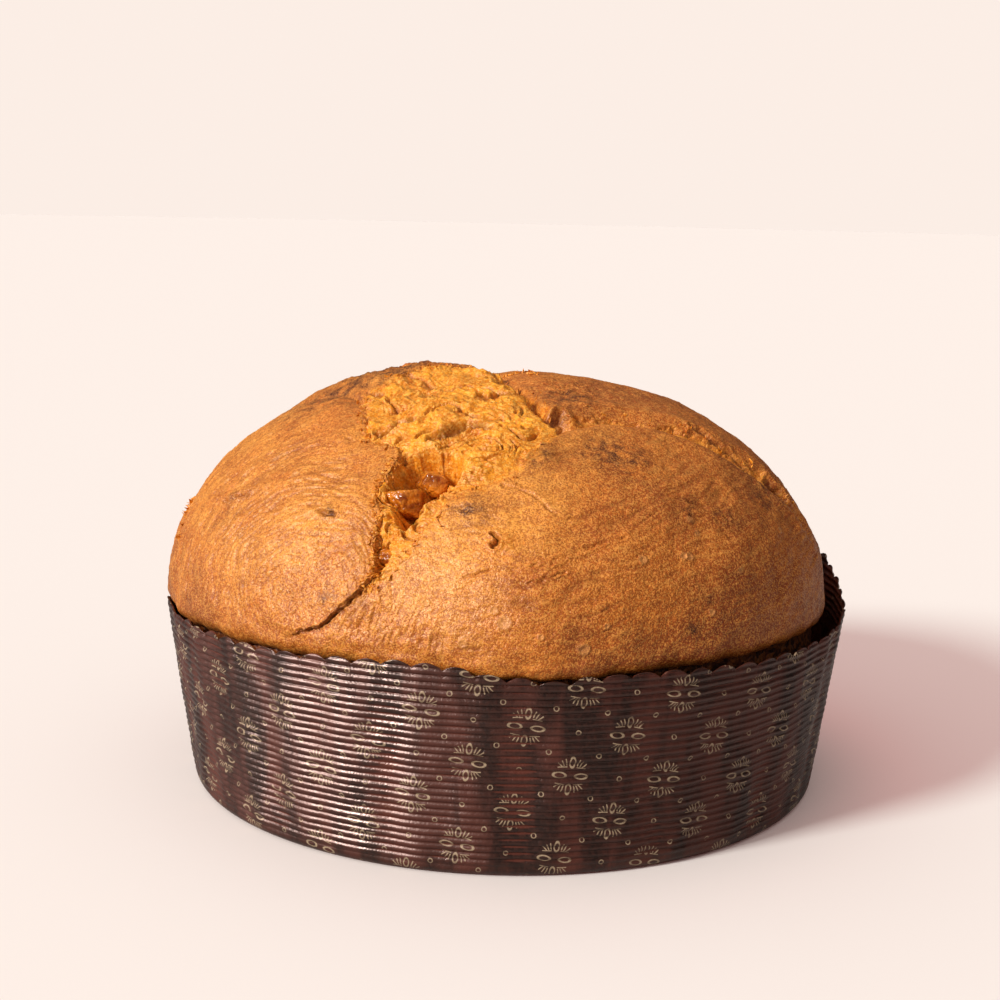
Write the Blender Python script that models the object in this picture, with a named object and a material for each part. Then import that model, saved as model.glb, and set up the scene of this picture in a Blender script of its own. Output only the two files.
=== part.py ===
"""A low panettone in its fluted paper baking case, at real size, in metres, +Z up.

The origin is on the table, under the middle of the case. The front is -Y.

The crust is worked out on a map of the dome: map points are distances in metres along the crust
from the crown, so the cracks keep their true length on the steep sides too. The dome itself is half
an ellipsoid that stands on the shoulder, the widest level of the dough, just above the paper's rim.
"""

import math

import bmesh
import bpy
import numpy as np

MM = 0.001

# Paper case: a conical band whose foot is turned in under a loose base disc.
CASE_HEIGHT = 59.0 * MM
FOOT_RADIUS = 102.7 * MM
WALL_FLARE = 8.5 / 60.0  # outward lean of the wall, radius per height
PAPER = 0.9 * MM  # thickness of the fluted paper
FOOT_TURN = 3.0 * MM  # radius of the turn between wall and flange
TURN_MIDDLE = FOOT_RADIUS + FOOT_TURN * (WALL_FLARE - 1.0)  # radius of the turn's centre line
FLANGE = 13.0 * MM
BASE_THICKNESS = 0.8 * MM
BASE_INSET = 1.0 * MM  # how far inside the turn the disc ends
BASE_SIDES = 66
FIT_GAP = 0.3 * MM

# The rim is cut in shallow scallops, and it was trimmed unevenly.
SCALLOPS = 80
SCALLOP_DEPTH = 1.7 * MM
POINTS_PER_SCALLOP = 3
RIM_FRONT = (-96.0, 30.0, 5.6 * MM)  # rises in front: middle and spread in degrees, size
RIM_PRESSED = (-86.0, 11.0, -4.0 * MM)  # pressed down where the dough leans on it
RIM_LEFT = (-142.0, 18.0, 0.7 * MM)
REAR_RISE = 12.5 * MM
REAR_MIDDLE = 40.0  # degrees, where the rim stands highest
REAR_START = (-54.0, -14.0)  # degrees from that middle, over which the rim climbs
REAR_END = (15.0, 85.0)  # and over which it comes down again

# Dough: the dome above the shoulder, and the body that fills the case.
SHOULDER_HEIGHT = 64.0 * MM
SHOULDER_RADIUS = 107.3 * MM
DOME_RISE = 67.0 * MM
CRUST_REACH = 135.0 * MM  # along the crust from the crown to the shoulder
LEAN_FRONT = (-86.0, 15.0, 4.6 * MM)  # leans over the rim: middle and spread in degrees, size
LEAN_LEFT = (180.0, 25.0, 4.2 * MM)
SHRINK_RIGHT = (0.0, 35.0, -3.0 * MM)  # shrank from the rim
SHOULDER_RIGHT = (5.0, 24.0, -4.0 * MM)  # sank a little
SHOULDER_LEFT = (-158.0, 22.0, -2.6 * MM)
SMOOTH_BELOW = 65.0  # degrees between faces of dough and fruit that still look rounded
FADE_FROM = 0.95  # share of the crust's reach where its relief starts to die out
CURL = 5.0 * MM  # radius on which the crust curls in below the shoulder
CURL_TURNS = (35.0, 75.0)  # degrees round the curl
RIM_GAP = 0.4 * MM  # what the curl keeps clear of the paper, besides the fitting gap
CONTACT_HEIGHT = 49.0 * MM  # below this the dough fills the case
CONTACT_DROP = 3.0  # how much lower the contact is for each width of the gap at the rim
DOME_CELLS = 38

# Where the crust tore open and the crumb shows, and the cracks that part the lobes from there on,
# both as outlines and routes on the dome's map.
TEAR = np.array([(-60, -111), (-43, -104), (-38, -97), (-34, -80), (-29, -62), (-29, -54), (-37, -48),
                 (-38, -28), (-37, -14), (-27, -6), (-8, 2), (-2, -10), (3, -22), (9, -42), (10, -51),
                 (1, -68), (-4, -73), (-15, -76), (-17, -86), (-27, -98), (-48, -108)]) * MM
CRACKS = {
    "right": np.array([(9, -47), (20, -39), (31, -34), (72, -31), (90, -31), (105, -31), (120, -28)]) * MM,
    "back": np.array([(2, -20), (-4, 8), (-14, 55), (-22, 80)]) * MM,
    "left": np.array([(-36, -22), (-44, -6), (-58, 5), (-76, 12), (-108, 34)]) * MM,
}
TEAR_DEPTH = 2.4 * MM
TEAR_BANK = 3.0 * MM  # half the width of the slope from crust to crumb
LIP_HEIGHT = 1.2 * MM  # the crust's rolled edge beside the tear
LIP_REACH = 7.0 * MM
CRACK_DEPTH = 2.8 * MM
CRACK_HALF_WIDTH = 5.5 * MM
CAVITY = np.array([(-36, -97), (-31, -78), (-20, -64)]) * MM
CAVITY_DEPTH = 9.5 * MM
CAVITY_HALF_WIDTH = 6.0 * MM
LUMP_HEIGHT = 1.2 * MM
LUMP_PITCH = 13.0 * MM

# Broad swellings of the lobes: middle on the map, reach, height.
SWELLINGS = (
    ((-44, 6), 30, 4.2),  # back-left lobe, the highest
    ((30, -62), 22, 1.6),  # top of the front lobe
    ((52, -8), 28, 2.0),  # back-right lobe
    ((-2, -100), 26, 1.6),  # belly of the front lobe
    ((-62, -72), 22, 2.0),  # belly of the front-left lobe
    ((-26, 2), 14, 1.2),  # the crown, where the crust burst
)

# Candied fruit in the cavity: place on the map, depth of its middle, half sizes, roundness, seed.
FRUIT = {
    "fruit_large": ((-28.5, -72.5), 8.8, (5.6, 4.8, 4.6), 3, 3),
    "fruit_middle": ((-20.5, -65.0), 8.2, (4.2, 4.4, 3.8), 2, 8),
    "fruit_small": ((-35.5, -95.0), 6.0, (2.6, 2.6, 2.4), 2, 5),
}
CHUNK_CUTS = 9
CHUNK_CUT_AT = 0.78  # where a flat side lies, of the lump's half size

# The dome's grid is drawn towards the front, where the crust has the most shape.
GRID_SHIFT = np.array((-6, -38)) * MM

MATERIALS = {
    "crust": ((0.50, 0.19, 0.045, 1.0), 0.55),
    "paper": ((0.055, 0.028, 0.022, 1.0), 0.45),
    "fruit": ((0.36, 0.08, 0.012, 1.0), 0.25),
}


def clear_scene():
    for obj in list(bpy.data.objects):
        bpy.data.objects.remove(obj)


def material(name):
    """A plain Principled material from the table of colours and roughnesses."""
    found = bpy.data.materials.get(name)
    if found:
        return found
    colour, roughness = MATERIALS[name]
    made = bpy.data.materials.new(name)
    made.use_nodes = True
    made.diffuse_color = colour
    shader = made.node_tree.nodes["Principled BSDF"]
    shader.inputs["Base Color"].default_value = colour
    shader.inputs["Roughness"].default_value = roughness
    shader.inputs["Metallic"].default_value = 0.0
    return made


def add_object(name, work, material_name, smooth_angle=40.0):
    """A mesh object from a bmesh, with its normals facing out, smooth up to the given angle."""
    bmesh.ops.recalc_face_normals(work, faces=work.faces)
    bmesh.ops.triangulate(work, faces=work.faces, quad_method="SHORT_EDGE")
    mesh = bpy.data.meshes.new(name)
    work.to_mesh(mesh)
    work.free()
    mesh.shade_smooth()
    mesh.set_sharp_from_angle(angle=math.radians(smooth_angle))
    mesh.materials.append(material(material_name))
    obj = bpy.data.objects.new(name, mesh)
    bpy.context.scene.collection.objects.link(obj)
    return obj


def from_points(vertices, faces):
    """A bmesh of the given points and faces."""
    work = bmesh.new()
    points = [work.verts.new(v) for v in vertices]
    for face in faces:
        work.faces.new([points[k] for k in face])
    return work


def hump(distance, reach):
    """1 at no distance, falling smoothly to nothing past the reach."""
    return np.exp(-((distance / reach) ** 2))


def smooth_step(x, low, high):
    t = np.clip((x - low) / (high - low), 0.0, 1.0)
    return t * t * (3.0 - 2.0 * t)


def turn_from(angle, middle):
    """Degrees from middle to angle, from -180 to 180."""
    return (np.degrees(angle) - middle + 180.0) % 360.0 - 180.0


def bulge(angle, place):
    """A smooth rise round the turned shapes: place gives its middle, its spread and its size."""
    middle, spread, size = place
    return size * hump(turn_from(angle, middle), spread)


def distance_to_route(points, route):
    """Distance of each map point from a route of straight pieces."""
    nearest = np.full(len(points), np.inf)
    for start, end in zip(route[:-1], route[1:]):
        step = end - start
        share = np.clip((points - start) @ step / (step @ step), 0.0, 1.0)
        gap = np.linalg.norm(points - start - share[:, None] * step, axis=1)
        nearest = np.minimum(nearest, gap)
    return nearest


def distance_inside(points, outline):
    """Distance of each map point from a closed outline, positive inside it."""
    inside = np.zeros(len(points), dtype=bool)
    closed = np.vstack([outline, outline[:1]])
    for (x0, y0), (x1, y1) in zip(closed[:-1], closed[1:]):
        if y0 != y1:
            crossing = x0 + (points[:, 1] - y0) * (x1 - x0) / (y1 - y0)
            between = (points[:, 1] >= min(y0, y1)) & (points[:, 1] < max(y0, y1))
            inside ^= between & (points[:, 0] < crossing)
    return np.where(inside, 1.0, -1.0) * distance_to_route(points, closed)


# --- the paper case -----------------------------------------------------------------------------


def wall_radius(height):
    """Outer radius of the case's wall."""
    return FOOT_RADIUS + WALL_FLARE * height


def rim_height(angle):
    """Height of the rim, without its scallops: higher in front and at the right rear, and pressed
    down a little where the dough leans over it."""
    around = turn_from(angle, REAR_MIDDLE)
    rear = REAR_RISE * smooth_step(around, *REAR_START) * (1.0 - smooth_step(around, *REAR_END))
    return CASE_HEIGHT + sum(bulge(angle, p) for p in (RIM_FRONT, RIM_PRESSED, RIM_LEFT)) + rear


def wall_profile(rim):
    """Cross-section of the band at one angle, from the outer rim round the foot to the inner rim."""
    quarter = [math.radians(a) for a in (0, -45, -90)]

    def turned(radius, angle):
        return TURN_MIDDLE + radius * math.cos(angle), FOOT_TURN + radius * math.sin(angle)

    outer = [(wall_radius(rim), rim)] + [turned(FOOT_TURN, a) for a in quarter]
    flange = [(TURN_MIDDLE - FLANGE, 0.0), (TURN_MIDDLE - FLANGE, PAPER)]
    inner = [turned(FOOT_TURN - PAPER, a) for a in (quarter[-1], quarter[0])]
    return outer + flange + inner + [(wall_radius(rim) - PAPER, rim)]


def build_case_wall():
    """The band, turned round the axis with a rim that rises, falls and is scalloped."""
    count = SCALLOPS * POINTS_PER_SCALLOP
    vertices = []
    for i in range(count):
        angle = 2.0 * math.pi * i / count
        notch = i % POINTS_PER_SCALLOP == 0
        rim = float(rim_height(np.array(angle))) - (SCALLOP_DEPTH if notch else 0.0)
        vertices += [(r * math.cos(angle), r * math.sin(angle), z) for r, z in wall_profile(rim)]
    size = len(vertices) // count
    faces = []
    for i in range(count):
        here, there = i * size, (i + 1) % count * size
        faces += [(here + k, here + (k + 1) % size, there + (k + 1) % size, there + k) for k in range(size)]
    return add_object("case_wall", from_points(vertices, faces), "paper")


def build_case_base():
    """The loose paper disc that lies on the band's flange."""
    radius = TURN_MIDDLE - BASE_INSET
    low = PAPER + FIT_GAP
    work = bmesh.new()
    bmesh.ops.create_cone(work, cap_ends=True, segments=BASE_SIDES, radius1=radius, radius2=radius,
                          depth=BASE_THICKNESS)
    bmesh.ops.translate(work, verts=work.verts, vec=(0.0, 0.0, low + BASE_THICKNESS / 2.0))
    return add_object("case_base", work, "paper")


# --- the dough ----------------------------------------------------------------------------------


def shoulder_radius(angle):
    """The dough leans over the rim in front and at the left, and shrank from it at the right."""
    return SHOULDER_RADIUS + sum(bulge(angle, p) for p in (LEAN_FRONT, LEAN_LEFT, SHRINK_RIGHT))


def shoulder_height(angle):
    return SHOULDER_HEIGHT + bulge(angle, SHOULDER_RIGHT) + bulge(angle, SHOULDER_LEFT)


def swelling(points):
    """How far the crust stands out of the plain ellipsoid at each map point, in metres."""
    out = np.zeros(len(points))
    for middle, reach, height in SWELLINGS:
        gap = np.linalg.norm(points - np.array(middle) * MM, axis=1)
        out += height * MM * hump(gap, reach * MM)
    inside = distance_inside(points, TEAR)
    torn = smooth_step(inside, -TEAR_BANK, TEAR_BANK)
    out += LIP_HEIGHT * hump(inside + LIP_REACH, LIP_REACH)
    lumps = np.sin(2 * math.pi * points[:, 0] / LUMP_PITCH) * np.sin(2 * math.pi * points[:, 1] / LUMP_PITCH)
    out -= torn * (TEAR_DEPTH - LUMP_HEIGHT * lumps)
    for route in CRACKS.values():
        out -= (1.0 - torn) * CRACK_DEPTH * hump(distance_to_route(points, route), CRACK_HALF_WIDTH)
    out -= CAVITY_DEPTH * hump(distance_to_route(points, CAVITY), CAVITY_HALF_WIDTH)
    fade = 1.0 - smooth_step(np.linalg.norm(points, axis=1), FADE_FROM * CRUST_REACH, CRUST_REACH)
    return out * fade


def on_dome(points):
    """Map points to the crust: an ellipsoid by arc, pushed out along its normal by the swelling."""
    reach = np.linalg.norm(points, axis=1)
    angle = np.arctan2(points[:, 1], points[:, 0])
    slope = np.minimum(reach / CRUST_REACH, 1.0) * math.pi / 2.0
    radius, base = shoulder_radius(angle), shoulder_height(angle)
    flat = radius * np.sin(slope)
    # The crown is at one height, so the rise makes up for the uneven shoulder.
    rise = SHOULDER_HEIGHT + DOME_RISE - base
    height = base + rise * np.cos(slope)
    out, up = np.sin(slope) / radius, np.cos(slope) / rise
    length = np.hypot(out, up)
    push = swelling(points)
    flat = flat + push * out / length
    height = height + push * up / length
    return np.stack([flat * np.cos(angle), flat * np.sin(angle), height], axis=1)


def disc_grid(cells):
    """Map points of a square grid rolled onto a disc, ring for ring, so that no point is a pole."""
    side = np.linspace(-1.0, 1.0, cells + 1)
    a, b = (g.ravel() for g in np.meshgrid(side, side, indexing="ij"))
    wide = np.abs(a) > np.abs(b)
    with np.errstate(divide="ignore", invalid="ignore"):
        turn = np.where(wide, math.pi / 4 * b / a, math.pi / 2 - math.pi / 4 * a / b)
    reach = np.where(wide, a, b)
    turn = np.where(reach == 0.0, 0.0, turn)
    points = np.stack([reach * np.cos(turn), reach * np.sin(turn)], axis=1)
    return CRUST_REACH * points + GRID_SHIFT * (1.0 - reach[:, None] ** 2)


def edge_loop(cells):
    """Indices of the grid's outermost points, in order round the dome."""
    row = cells + 1
    steps = range(cells)
    return ([i * row for i in steps] + [cells * row + i for i in steps]
            + [(cells - i) * row + cells for i in steps] + [cells - i for i in steps])


def body_rings(edge):
    """Rings of points below the shoulder: the curled-in crust, the side, and the foot of the dough."""
    angle = np.arctan2(edge[:, 1], edge[:, 0])
    shoulder, base = shoulder_radius(angle), shoulder_height(angle)

    def fitting(height):
        return wall_radius(height) - PAPER - FIT_GAP

    rings = []
    for turn in np.radians(CURL_TURNS):
        level = base - CURL * math.sin(turn)
        rings.append((np.minimum(shoulder - CURL * (1.0 - math.cos(turn)), fitting(level) - RIM_GAP), level))
    neck, level = rings[-1]
    contact = CONTACT_HEIGHT - CONTACT_DROP * (fitting(level) - neck)
    foot = PAPER + BASE_THICKNESS + 2.0 * FIT_GAP
    rings += [
        (fitting(contact), contact),
        (np.full_like(base, fitting(foot + FOOT_TURN)), np.full_like(base, foot + FOOT_TURN)),
        (np.full_like(base, fitting(foot) - FOOT_TURN), np.full_like(base, foot)),
    ]
    return [np.stack([r * np.cos(angle), r * np.sin(angle), z], axis=1) for r, z in rings]


def build_dough():
    """The dome over a square grid, its body in the case, and a flat foot."""
    row = DOME_CELLS + 1
    dome = on_dome(disc_grid(DOME_CELLS))
    faces = [(i * row + j, (i + 1) * row + j, (i + 1) * row + j + 1, i * row + j + 1)
             for i in range(DOME_CELLS) for j in range(DOME_CELLS)]
    loop = edge_loop(DOME_CELLS)
    vertices = [dome]
    count = len(dome)
    for ring in body_rings(dome[loop]):
        below = list(range(count, count + len(ring)))
        faces += [(loop[i], loop[i - 1], below[i - 1], below[i]) for i in range(len(loop))]
        vertices.append(ring)
        count += len(ring)
        loop = below
    faces.append(tuple(loop))
    work = from_points(np.concatenate(vertices), faces)
    return add_object("dough", work, "crust", smooth_angle=SMOOTH_BELOW)


# --- candied fruit ------------------------------------------------------------------------------


def fruit_middle(place, depth):
    """A point the given depth under the plain dome, below a place on the map."""
    reach = math.hypot(*place) * MM
    angle = math.atan2(place[1], place[0])
    slope = reach / CRUST_REACH * math.pi / 2.0
    radius = float(shoulder_radius(np.array(angle)))
    flat = radius * math.sin(slope) - depth * MM * math.sin(slope) * DOME_RISE / radius
    height = SHOULDER_HEIGHT + DOME_RISE * math.cos(slope) - depth * MM * math.cos(slope)
    return np.array([flat * math.cos(angle), flat * math.sin(angle), height])


def build_chunk(name, half_sizes, middle, divisions, seed, grow=0.0):
    """A cut lump of fruit: a ball with flattened sides and a few soft dents."""
    work = bmesh.new()
    bmesh.ops.create_icosphere(work, subdivisions=divisions, radius=1.0)
    pick = np.random.default_rng(seed)
    cuts = pick.normal(size=(CHUNK_CUTS, 3))
    cuts /= np.linalg.norm(cuts, axis=1)[:, None]
    for vertex in work.verts:
        way = np.array(vertex.co)
        reach = min([1.0] + [CHUNK_CUT_AT / c for c in cuts @ way if c > CHUNK_CUT_AT])
        vertex.co = middle + way * (np.array(half_sizes) * MM * reach + grow)
    return add_object(name, work, "fruit", smooth_angle=SMOOTH_BELOW)


def bed_fruit(dough):
    """Each lump of fruit sits in a pocket of the crumb that is a little larger than itself."""
    for name, (place, depth, half_sizes, divisions, seed) in FRUIT.items():
        middle = fruit_middle(place, depth)
        build_chunk(name, half_sizes, middle, divisions, seed)
        pocket = build_chunk(name + "_pocket", half_sizes, middle, divisions, seed, grow=FIT_GAP)
        pocket.hide_render = True
        pocket.display_type = "WIRE"
        cut = dough.modifiers.new("pocket for " + name, "BOOLEAN")
        cut.operation = "DIFFERENCE"
        cut.solver = "EXACT"
        cut.object = pocket


clear_scene()
build_case_wall()
build_case_base()
bed_fruit(build_dough())
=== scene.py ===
"""The finished look of a low panettone in its fluted, printed paper case.

Shapes are worked out in millimetres, +Z up, -Y towards the front, and become metres in add_piece.
The crust is worked out on a map of the dome, whose points are distances along the crust from the
crown, so that a crack keeps its true length on the steep sides too.
"""

import math
from types import SimpleNamespace

import bmesh
import bpy
import numpy as np
from mathutils import Matrix, Vector


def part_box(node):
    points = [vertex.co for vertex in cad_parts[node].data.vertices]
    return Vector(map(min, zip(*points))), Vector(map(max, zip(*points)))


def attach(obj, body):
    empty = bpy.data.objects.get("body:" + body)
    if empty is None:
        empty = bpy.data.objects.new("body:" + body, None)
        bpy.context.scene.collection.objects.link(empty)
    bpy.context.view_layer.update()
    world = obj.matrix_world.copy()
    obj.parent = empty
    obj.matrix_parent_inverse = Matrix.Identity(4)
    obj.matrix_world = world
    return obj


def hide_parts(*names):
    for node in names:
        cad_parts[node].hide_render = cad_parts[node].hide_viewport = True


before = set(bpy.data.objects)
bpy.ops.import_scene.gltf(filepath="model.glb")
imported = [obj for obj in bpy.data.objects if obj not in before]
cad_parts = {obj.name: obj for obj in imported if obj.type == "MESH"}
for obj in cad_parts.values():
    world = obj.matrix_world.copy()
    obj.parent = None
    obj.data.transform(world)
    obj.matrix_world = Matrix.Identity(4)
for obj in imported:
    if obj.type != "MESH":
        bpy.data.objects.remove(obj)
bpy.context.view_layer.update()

# --- sizes, in millimetres ------------------------------------------------------------------------

MM = 0.001

# Paper case
CASE_HEIGHT = 59.0
FOOT_RADIUS = 102.7
WALL_FLARE = 8.5 / 60.0
PAPER = 0.9
FOOT_TURN = 3.0
TURN_MIDDLE = FOOT_RADIUS + FOOT_TURN * (WALL_FLARE - 1.0)
FLANGE = 13.0
BASE_THICKNESS = 0.8
FIT_GAP = 0.3
SCALLOPS = 80
SCALLOP_DEPTH = 1.7
RIM_FRONT = (-96.0, 30.0, 5.6)  # rises in front: middle and spread in degrees, size
RIM_PRESSED = (-86.0, 11.0, -4.0)  # pressed down where the dough leans on it
RIM_LEFT = (-142.0, 18.0, 0.7)
REAR_RISE = 12.5
REAR_MIDDLE = 40.0  # degrees, where the rim stands highest
REAR_START = (-54.0, -14.0)  # degrees from that middle, over which the rim climbs
REAR_END = (15.0, 85.0)  # and over which it comes down again
FLUTE_PITCH = 2.12
FLUTE_DEPTH = 0.62
FLUTE_STEPS = 8  # rows of points for each flute
EVEN_TO = 50.0  # up to this height the rows of points are evenly spaced, and above it they follow the rim
PRESSED_PAPER = 0.45  # thickness of the paper between two flutes and at the rim
WALL_MIDDLE = 107.0  # mean radius, which turns an angle into millimetres along the wall
WALL_PIECES = 4

# Dough
SHOULDER_HEIGHT = 64.0
SHOULDER_RADIUS = 107.3
DOME_RISE = 67.0
CRUST_REACH = 135.0  # along the crust from the crown to the shoulder
LEAN_FRONT = (-86.0, 15.0, 4.6)  # leans over the rim
LEAN_LEFT = (180.0, 25.0, 4.2)
SHRINK_RIGHT = (0.0, 35.0, -3.0)  # shrank from the rim
SHOULDER_RIGHT = (5.0, 24.0, -4.0)  # sank a little
SHOULDER_LEFT = (-158.0, 22.0, -2.6)
FADE_FROM = 0.95  # share of the crust's reach where its relief starts to die out
LIP_ROUND = 5.0  # radius of the curl under the crust's edge
LIP_TURN = 140.0  # degrees that the curl goes on past the shoulder
MAP_REACH = CRUST_REACH + LIP_ROUND * math.radians(LIP_TURN)
CRUST_CELLS = 680  # along each side of the crust's grid of points
CRUST_BLOCKS = (3, 2)
GRID_MIDDLE = (-10.0, -45.0)  # on the map, where the grid is finest
SIDE_CONTACT = 49.0  # height where the dough meets the paper, and up to which it fills the case
SIDE_FOOT = 5.0  # height where the dough's round foot starts
SIDE_MIDDLE = 105.0  # mean radius of the side

# The crust tore open between these two edges, from the front foot of the tear up to the crown.
TEAR_LEFT = np.array([(-43, -104), (-38, -100), (-38, -93), (-35, -79), (-36, -73), (-29, -58), (-29, -54),
                      (-36, -49), (-37, -36), (-38, -16), (-27, -6), (-20, 0), (-9, 2)], float)
TEAR_RIGHT = np.array([(-42, -105), (-34, -101), (-29, -97), (-20, -86), (-15, -77), (-5, -73), (2, -66),
                       (5, -59), (11, -51), (7, -34), (3, -22), (-2, -10), (-5, -1)], float)
# The holes in the torn crumb, and how deep they go.
CAVITY = np.array([(-27, -57), (-32, -66), (-32, -76), (-31, -84), (-28, -88), (-20, -79), (-14, -72),
                   (-11, -66), (-13, -60), (-20, -56)], float)
CAVITY_DEPTH = 9.5
LOWER_HOLE = np.array([(-38, -100), (-38, -92), (-35, -90), (-32, -95)], float)
LOWER_HOLE_DEPTH = 5.5
PILLAR = (-24.0, -68.5)  # of crumb, between two lumps of fruit
TORN_FLAP = (-0.6, -94.5)
# The seam between the front lobe and the rear right lobe, where a band of crumb shows.
SEAM_FRONT = np.array([(4, -53), (12, -47), (22, -40), (33, -36), (65, -34), (86, -34), (95, -36),
                       (106, -34)], float)
SEAM_REAR = np.array([(8, -44), (19, -36), (28, -33), (52, -29), (68, -27), (79, -27), (90, -29), (100, -30),
                      (106, -31)], float)
# Cracks between the lobes: route, depth and half width.
CREVICE = (np.array([(-3, -10), (2, -20), (6, -33), (9, -43), (13, -43)], float), 4.5, 1.3)
CRACKS = (
    (np.array([(9, -47), (20, -39), (31, -34), (72, -31), (90, -31), (105, -31), (126, -27)], float),
     2.6, 5.0),
    (np.array([(2, -20), (-4, 8), (-14, 55), (-22, 80)], float), 3.0, 5.5),
    (np.array([(-36, -22), (-44, -6), (-58, 5), (-76, 12), (-108, 34)], float), 2.8, 5.0),
)
# The right seam's last stretch, down to the rim.
LOW_SEAM = np.array([(98, -31), (112, -30), (142, -24)], float)
# At the tear's foot the left lobe's edge steps down to the front lobe.
FRONT_STEP = np.array([(-74, -110), (-62, -112), (-50, -108), (-43, -104), (-36, -101)], float)

# Broad swellings of the lobes: middle on the map, reach, height.
SWELLINGS = (
    ((-44, 6), 30, 4.2),
    ((30, -62), 22, 1.6),
    ((52, -8), 28, 2.0),
    ((-2, -100), 26, 1.6),
    ((-62, -72), 22, 2.0),
    ((-16, -38), 16, 1.6),
    ((-26, 2), 14, 1.2),
    ((-10, -80), 6, 1.3),
    ((5, -61), 6, 0.9),
    ((-44, -38), 9, 0.7),
    ((-58, -52), 10, 0.8),
    ((34, -92), 12, 0.7),
    ((66, -84), 13, 0.8),
)
# Fine wrinkles, slits and the like: route, depth, half width. Those less deep than SHALLOW come and go.
SHALLOW = 0.8
WRINKLES = (
    ([(-37, -100), (-46, -106), (-55, -110), (-64, -112), (-72, -110)], 0.9, 0.4),
    ([(-41, -45), (-56, -38), (-73, -34), (-88, -35)], 0.55, 0.9),
    ([(-34, -29), (-47, -28), (-59, -30), (-77, -36)], 0.45, 1.0),
    ([(-48, -60), (-62, -55), (-78, -54)], 0.35, 1.1),
    ([(98, -31), (112, -30), (124, -28)], 1.8, 0.9),
    ([(-8, -60), (4, -63), (16, -58)], 0.6, 0.9),
    ([(-12, -105), (8, -101), (24, -91), (31, -88)], 0.5, 0.6),
    ([(6, -107), (15, -102)], 0.45, 0.5),
    ([(-1, -73), (5, -77), (13, -84)], 0.5, 0.7),
    ([(14, -84), (33, -84)], 0.3, 0.8),
    ([(-4, -91), (-3, -93), (-4, -96)], 1.7, 0.6),
    ([(10, -41), (12, -40)], 3.0, 1.5),
    ([(48, -27), (58, -28), (70, -29)], 1.5, 0.7),
    ([(77, -28), (86, -29)], 3.0, 1.1),
    ([(89, -30), (95, -33)], 2.4, 0.9),
    ([(48, -67), (61, -66)], 0.7, 0.9),
    ([(50, -72), (70, -73)], 0.45, 1.0),
    ([(-84, -40), (-75, -46)], 1.0, 0.9),
    ([(-52, -73), (-48, -76)], 0.9, 1.0),
    ([(-92, -58), (-80, -66), (-50, -70)], 0.3, 1.4),
    ([(-88, -30), (-60, -52), (-44, -56)], 0.35, 1.6),
    ([(-2, -26), (-12, -22), (-22, -26)], 1.4, 1.0),
    ([(-20, -52), (-11, -47), (-5, -48)], 2.4, 1.1),
    ([(-34, -44), (-24, -42)], 1.4, 0.9),
)
# Blisters of the skin: middle, radius.
BLISTERS = (
    ((-1, -120), 2.5), ((-4, -116), 1.5), ((-14, -127), 1.7), ((24, -127), 2.3), ((-64, -89), 1.8),
    ((37, -94), 1.6), ((52, -87), 1.5), ((-70, -84), 1.3), ((10, -124), 1.2), ((30, -118), 1.1),
)
MORE_BLISTERS = 70  # smaller ones, scattered over the whole crust
# The skin's streaks ring the first middle, and on the left lobe the second.
RINGS_MIDDLE = (-5.0, -20.0)
BELLY_MIDDLE = (-66.0, -100.0)
# Paler by the tear, browner on the crown's right: middle, reach, change of browning.
TOASTED = (((-20, -84), 30.0, -0.25), ((20, -20), 40.0, 0.25))
# Places that caught the heat: middle, reach, strength.
SCORCHES = (
    ((-80, -42), 2.2, 1.5), ((-49, -75), 2.2, 1.1), ((6, -61), 4.5, 0.9), ((-10, -82), 4.5, 0.9),
    ((61, -111), 2.4, 1.3), ((64, -99), 1.8, 0.8), ((60, -66), 4.0, 0.9), ((50, -70), 4.0, 0.9),
    ((30, -60), 9.0, 0.5),
    ((-30, 2), 15.0, 0.9), ((-50, -6), 12.0, 0.8), ((15, -27), 9.0, 0.9), ((24, -56), 8.0, 0.7),
    ((-56, -103), 4.0, 0.5), ((74, -44), 9.0, 0.7), ((-86, -48), 5.0, 0.5), ((0, -56), 4.0, 0.5),
    ((-70, 20), 14.0, 0.5), ((20, 50), 20.0, 0.4), ((70, 40), 18.0, 0.4), ((-20, 90), 18.0, 0.4),
)

# Torn scraps along the edges: how many, and for each route its share of them and their spread about it.
FLAKES = 420
FLAKE_ROUTES = (
    (TEAR_LEFT[:6], 0.34, 0.8),
    (TEAR_LEFT, 0.26, 1.0),
    (TEAR_RIGHT, 0.14, 2.0),
    (SEAM_REAR, 0.10, 1.2),
    (np.array([(-9, 2), (-1, 3), (4, 7), (6, -2)], float), 0.08, 1.0),
    (np.array([(-102, -3), (-107, -14), (-112, -25)], float), 0.06, 1.2),
)
FLAKE_LENGTH = (0.5, 1.6)  # half sizes, from and to
FLAKE_WIDTH = (0.3, 0.8)
FLAKE_THICKNESS = (0.08, 0.18)
FAR_LEFT = -100.0  # past here the flakes are larger
FAR_LEFT_GROWTH = 1.3

# Candied fruit
FRUIT_SEEDS = {"fruit_large": 3, "fruit_middle": 8, "fruit_small": 5}
CHUNK_CUTS = 9
CHUNK_CUT_AT = 0.66  # where a flat side lies, of the lump's half size
CHUNK_GROWTH = 1.16  # swollen with syrup
CHUNK_LIFT = (-0.4, -0.8, 1.2)

# Print
ROSETTE_PITCH = 28.4
ROW_PITCH = 13.08
PRINT_SLOPE = 0.131  # the printed rows drop a little on their way round the case
PRINT_LEAN = 0.119  # and each row starts a little further round
PRINT_AT = (15.1, 7.8)  # a rosette's middle: round the case from its front, and up it
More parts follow.
